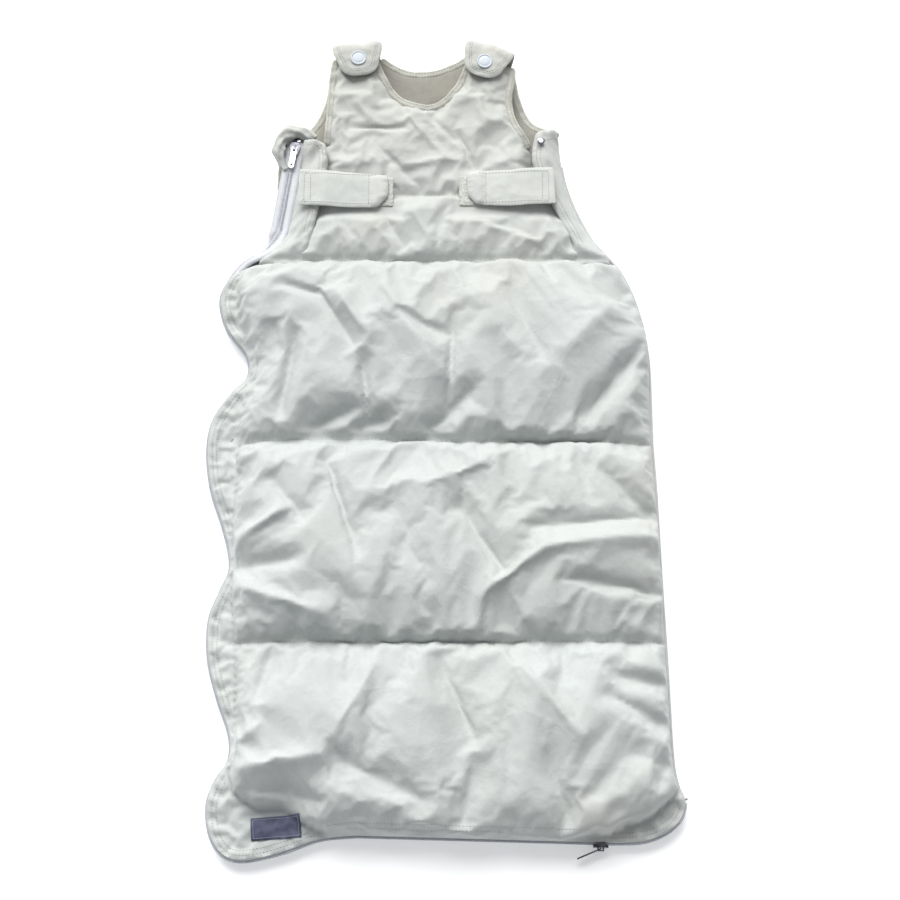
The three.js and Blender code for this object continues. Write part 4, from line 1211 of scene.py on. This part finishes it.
band_frames = zip_frames(4)
tooth_frames = zip_frames(0.85)
zip_back = zip_band("zip_tape_lower", [(-8.6, -0.3), (-2.1, -0.4), (-2.1, 0.4), (-8.6, 0.3)],
                    TAPE, band_frames)
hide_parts("zip_tape_back")
zip_front = zip_band("zip_tape_upper", [(2.1, -0.4), (9.4, -0.3), (9.4, 0.3), (2.1, 0.4)],
                     TAPE, band_frames)
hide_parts("zip_tape_front_upper", "zip_tape_front_corner", "zip_tape_front_foot")
teeth_back = zip_teeth("zip_teeth_lower", -1, tooth_frames)
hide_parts("zip_coil_back")
teeth_front = zip_teeth("zip_teeth_upper", 1, tooth_frames)
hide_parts("zip_coil_front_upper", "zip_coil_front_corner", "zip_coil_front_foot")
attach(zip_back, "bag")
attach(teeth_back, "bag")

METAL_NODES = ["zip_slider_top", "zip_puller_top", "zip_slider_foot", "zip_puller_foot",
               "zip_stop_top_back", "zip_stop_top_front", "snap_socket_left", "snap_socket_right",
               "snap_stud_left", "snap_stud_right", "snap_post_left", "snap_post_right", "underarm_snap"]
DARK_NODES = ["zip_slider_top", "zip_slider_foot", "zip_puller_foot"]
for name in METAL_NODES:
    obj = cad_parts[name]
    for slot in obj.material_slots:
        slot.material = DARK_NICKEL if name in DARK_NODES else NICKEL
    bevel = obj.modifiers.new("bevel", "BEVEL")
    bevel.width = 0.35 * MM
    bevel.segments = 2
    bevel.limit_method = "ANGLE"

# The zip ends in a small metal stop that stays inside the CAD one.
low, high = (Vector(c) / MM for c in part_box("zip_stop_foot"))
middle = np.array([(low.x + high.x) / 2 - 1.6, (low.y + high.y) / 2])
stop_ring = smooth_ring(np.array([(-2.2, -1.2), (2.2, -1.2), (2.2, 1.2), (-2.2, 1.2)]) + middle, 0.5, 60)
stop = stitched_pad("zip_end_stop", stop_ring, lambda p, d: high.z - 0.8 + 0.8 * rounded(d, 0.9),
                    lambda p, d: low.z + 1.0 - 0.6 * rounded(d, 0.9), [NICKEL, NICKEL], step=0.6)
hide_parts("zip_stop_foot")
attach(stop, "bag")

# The rolled, padded corner that covers the zip's top end.
roll = catmull(drawn([(-121, 292), (-131, 297), (-143, 298.5), (-152, 293), (-156, 283),
                      (-155, 272), (-149, 260)]), 6)
heights = np.interp(np.linspace(0, 1, len(roll)), [0, 0.2, 0.5, 0.8, 1], [17, 19, 19, 18, 15])
sections = []
for i in range(len(roll)):
    t = i / (len(roll) - 1)
    swell = math.sin(math.pi * min(max(t, 0.05), 0.95)) ** 0.35 * (1 + 0.12 * math.sin(t * 19) - 0.25 * t)
    section = []
    for k, (a, b) in enumerate(oval(15 * swell, 15 * swell, 24)):
        around = math.tau * k / 24
        crumple = 1 + 0.13 * math.sin(5 * around + 0.5 * i) + 0.09 * math.sin(2 * around - 0.9 * i)
        section.append((a * crumple, b * crumple))
    sections.append(section)
garage = sweep("zip_garage_roll", np.column_stack([roll, heights]), sections, COTTON)
subdivide(garage)
flap_ring = smooth_ring(drawn([(-119, 291), (-131, 300), (-146, 300), (-157, 291), (-160, 278), (-156, 264),
                               (-148, 254), (-143, 258), (-141, 272), (-132, 283)]), 3.5, SHARP)
flap = stitched_pad("zip_garage_flap", flap_ring,
                    lambda p, d: 11.6 + 1.6 * rounded(d, 3) + 0.5 * roughly(p, 8, 33),
                    lambda p, d: 11.2 - 0.8 * rounded(d, 3), [COTTON])
for piece in (garage, flap):
    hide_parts("zip_garage")
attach(flap, "bag")
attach(garage, "bag")

# ------------------------------------------------------------------ label
low, high = (Vector(c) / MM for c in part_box("label"))
middle = np.array([(low.x + high.x) / 2 + 2, (low.y + high.y) / 2 + 3])
TURN = 0.07
label_axes = np.array([(math.cos(TURN), math.sin(TURN)), (-math.sin(TURN), math.cos(TURN))])


def label_ring(w, h, step=3):
    corners = np.array([(-w, -h), (w, -h), (w, h), (-w, h)]) @ label_axes + middle
    return smooth_ring(corners, step, 60)


def on_front(lift):
    """Heights at a fixed lift above the front."""
    return lambda points, d: np.array([front_surface.z(*p) for p in points]) + lift


label = stitched_pad("label_patch", label_ring(21.5, 9.5), on_front(1.0), on_front(0.1), [LABEL], step=2.6,
                     subdivided=False)
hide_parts("label")
border = Stitches()
label_surface = Surface(label)
border_line = label_ring(19.6, 7.8)
border.run(np.concatenate([border_line, border_line[:1]]), label_surface, pitch=1.6, length=1.3, width=0.5)
border = border.finish("label_border", "label_cloth")
border.data.materials[0] = BORDER
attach(label, "foot_corner")
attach(border, "foot_corner")

# ------------------------------------------------------------------ stitched lines on the front
hem_stitches = Stitches()
left_edge = FRONT_RING[(FRONT_RING[:, 0] < 0) & (FRONT_RING[:, 1] < TOP_SEAM) | (FRONT_RING[:, 1] < -345)]
for inset in (4.5, 8.5):
    line = offset_line(left_edge, inset)
    clear = distance_to(line, PUFF_EDGE) > 2.5
    changes = np.flatnonzero(np.diff(clear)) + 1
    for run, kept in zip(np.split(line, changes), np.split(clear, changes)):
        if kept[0] and len(run) > 3:
            hem_stitches.run(run, front_surface)
for line in FRONT_SEAMS:
    hem_stitches.run(line, front_surface, pitch=3.2, lift=0.05)
hem_thread = hem_stitches.finish("front_thread", "cotton_shell")
edge_thread = edge_stitches.finish("edge_thread")
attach(edge_thread, "bag")

# ------------------------------------------------------------------ pieces across the foot corner's fold line
FOLD_A = np.array([-199, 150]) + SHIFT
FOLD_B = np.array([112, -374]) + SHIFT


def over_fold(obj):
    """Fabric that crosses the fold line of the foot corner: its transform is baked into its mesh; the
    fold's directions are worked out but nothing turns.
    """
    along = (FOLD_B - FOLD_A) / np.linalg.norm(FOLD_B - FOLD_A)
    away = np.array([along[1], -along[0]])
    if away @ np.array([-1, -1]) < 0:
        away = -away
    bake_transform(obj)


for piece in (front, zip_front, teeth_front, hem_thread):
    over_fold(piece)

# ------------------------------------------------------------------ stage, light and finish
def stage():
    n = Nodes("floor", (0.93, 0.935, 0.94), 0.9)
    n.two_tones(n.noise(3, 2), 0.3, 0.7, (0.93, 0.935, 0.94), (0.92, 0.925, 0.935))
    size = 50000  # out to the horizon of a low view
    n.shader.inputs["Emission Color"].default_value = (1, 1, 1, 1)
    n.shader.inputs["Emission Strength"].default_value = 0.32
    corners = [(x, y, -0.4) for x, y in ((-size, -size), (size, -size), (size, size), (-size, size))]
    floor = make("floor", corners, [(0, 1, 2, 3)], n.material, smooth=False)


def add_light(name, kind, place, energy, color):
    """A light at a place, shining towards the origin."""
    light = link(name, bpy.data.lights.new(name, kind))
    light.data.energy = energy
    light.data.color = color
    light.location = place
    light.rotation_euler = Vector(place).to_track_quat("Z", "Y").to_euler()
    return light.data


stage()
window = add_light("window", "SUN", (-0.22, 0.9, 0.8), 3.9, (1.0, 0.995, 0.98))
window.angle = math.radians(52)
overhead = add_light("overhead", "AREA", (0.5, 0.9, 2.2), 7, (0.97, 0.985, 1.0))
overhead.shape = "SQUARE"
overhead.size = 2.0
world = bpy.data.worlds.new("studio")
world.use_nodes = True
background = world.node_tree.nodes["Background"]
background.inputs["Color"].default_value = (0.93, 0.96, 1.0, 1)
background.inputs["Strength"].default_value = 0.31
bpy.context.scene.world = world
bpy.context.scene.view_settings.view_transform = "Standard"
bpy.context.scene.view_settings.look = "None"
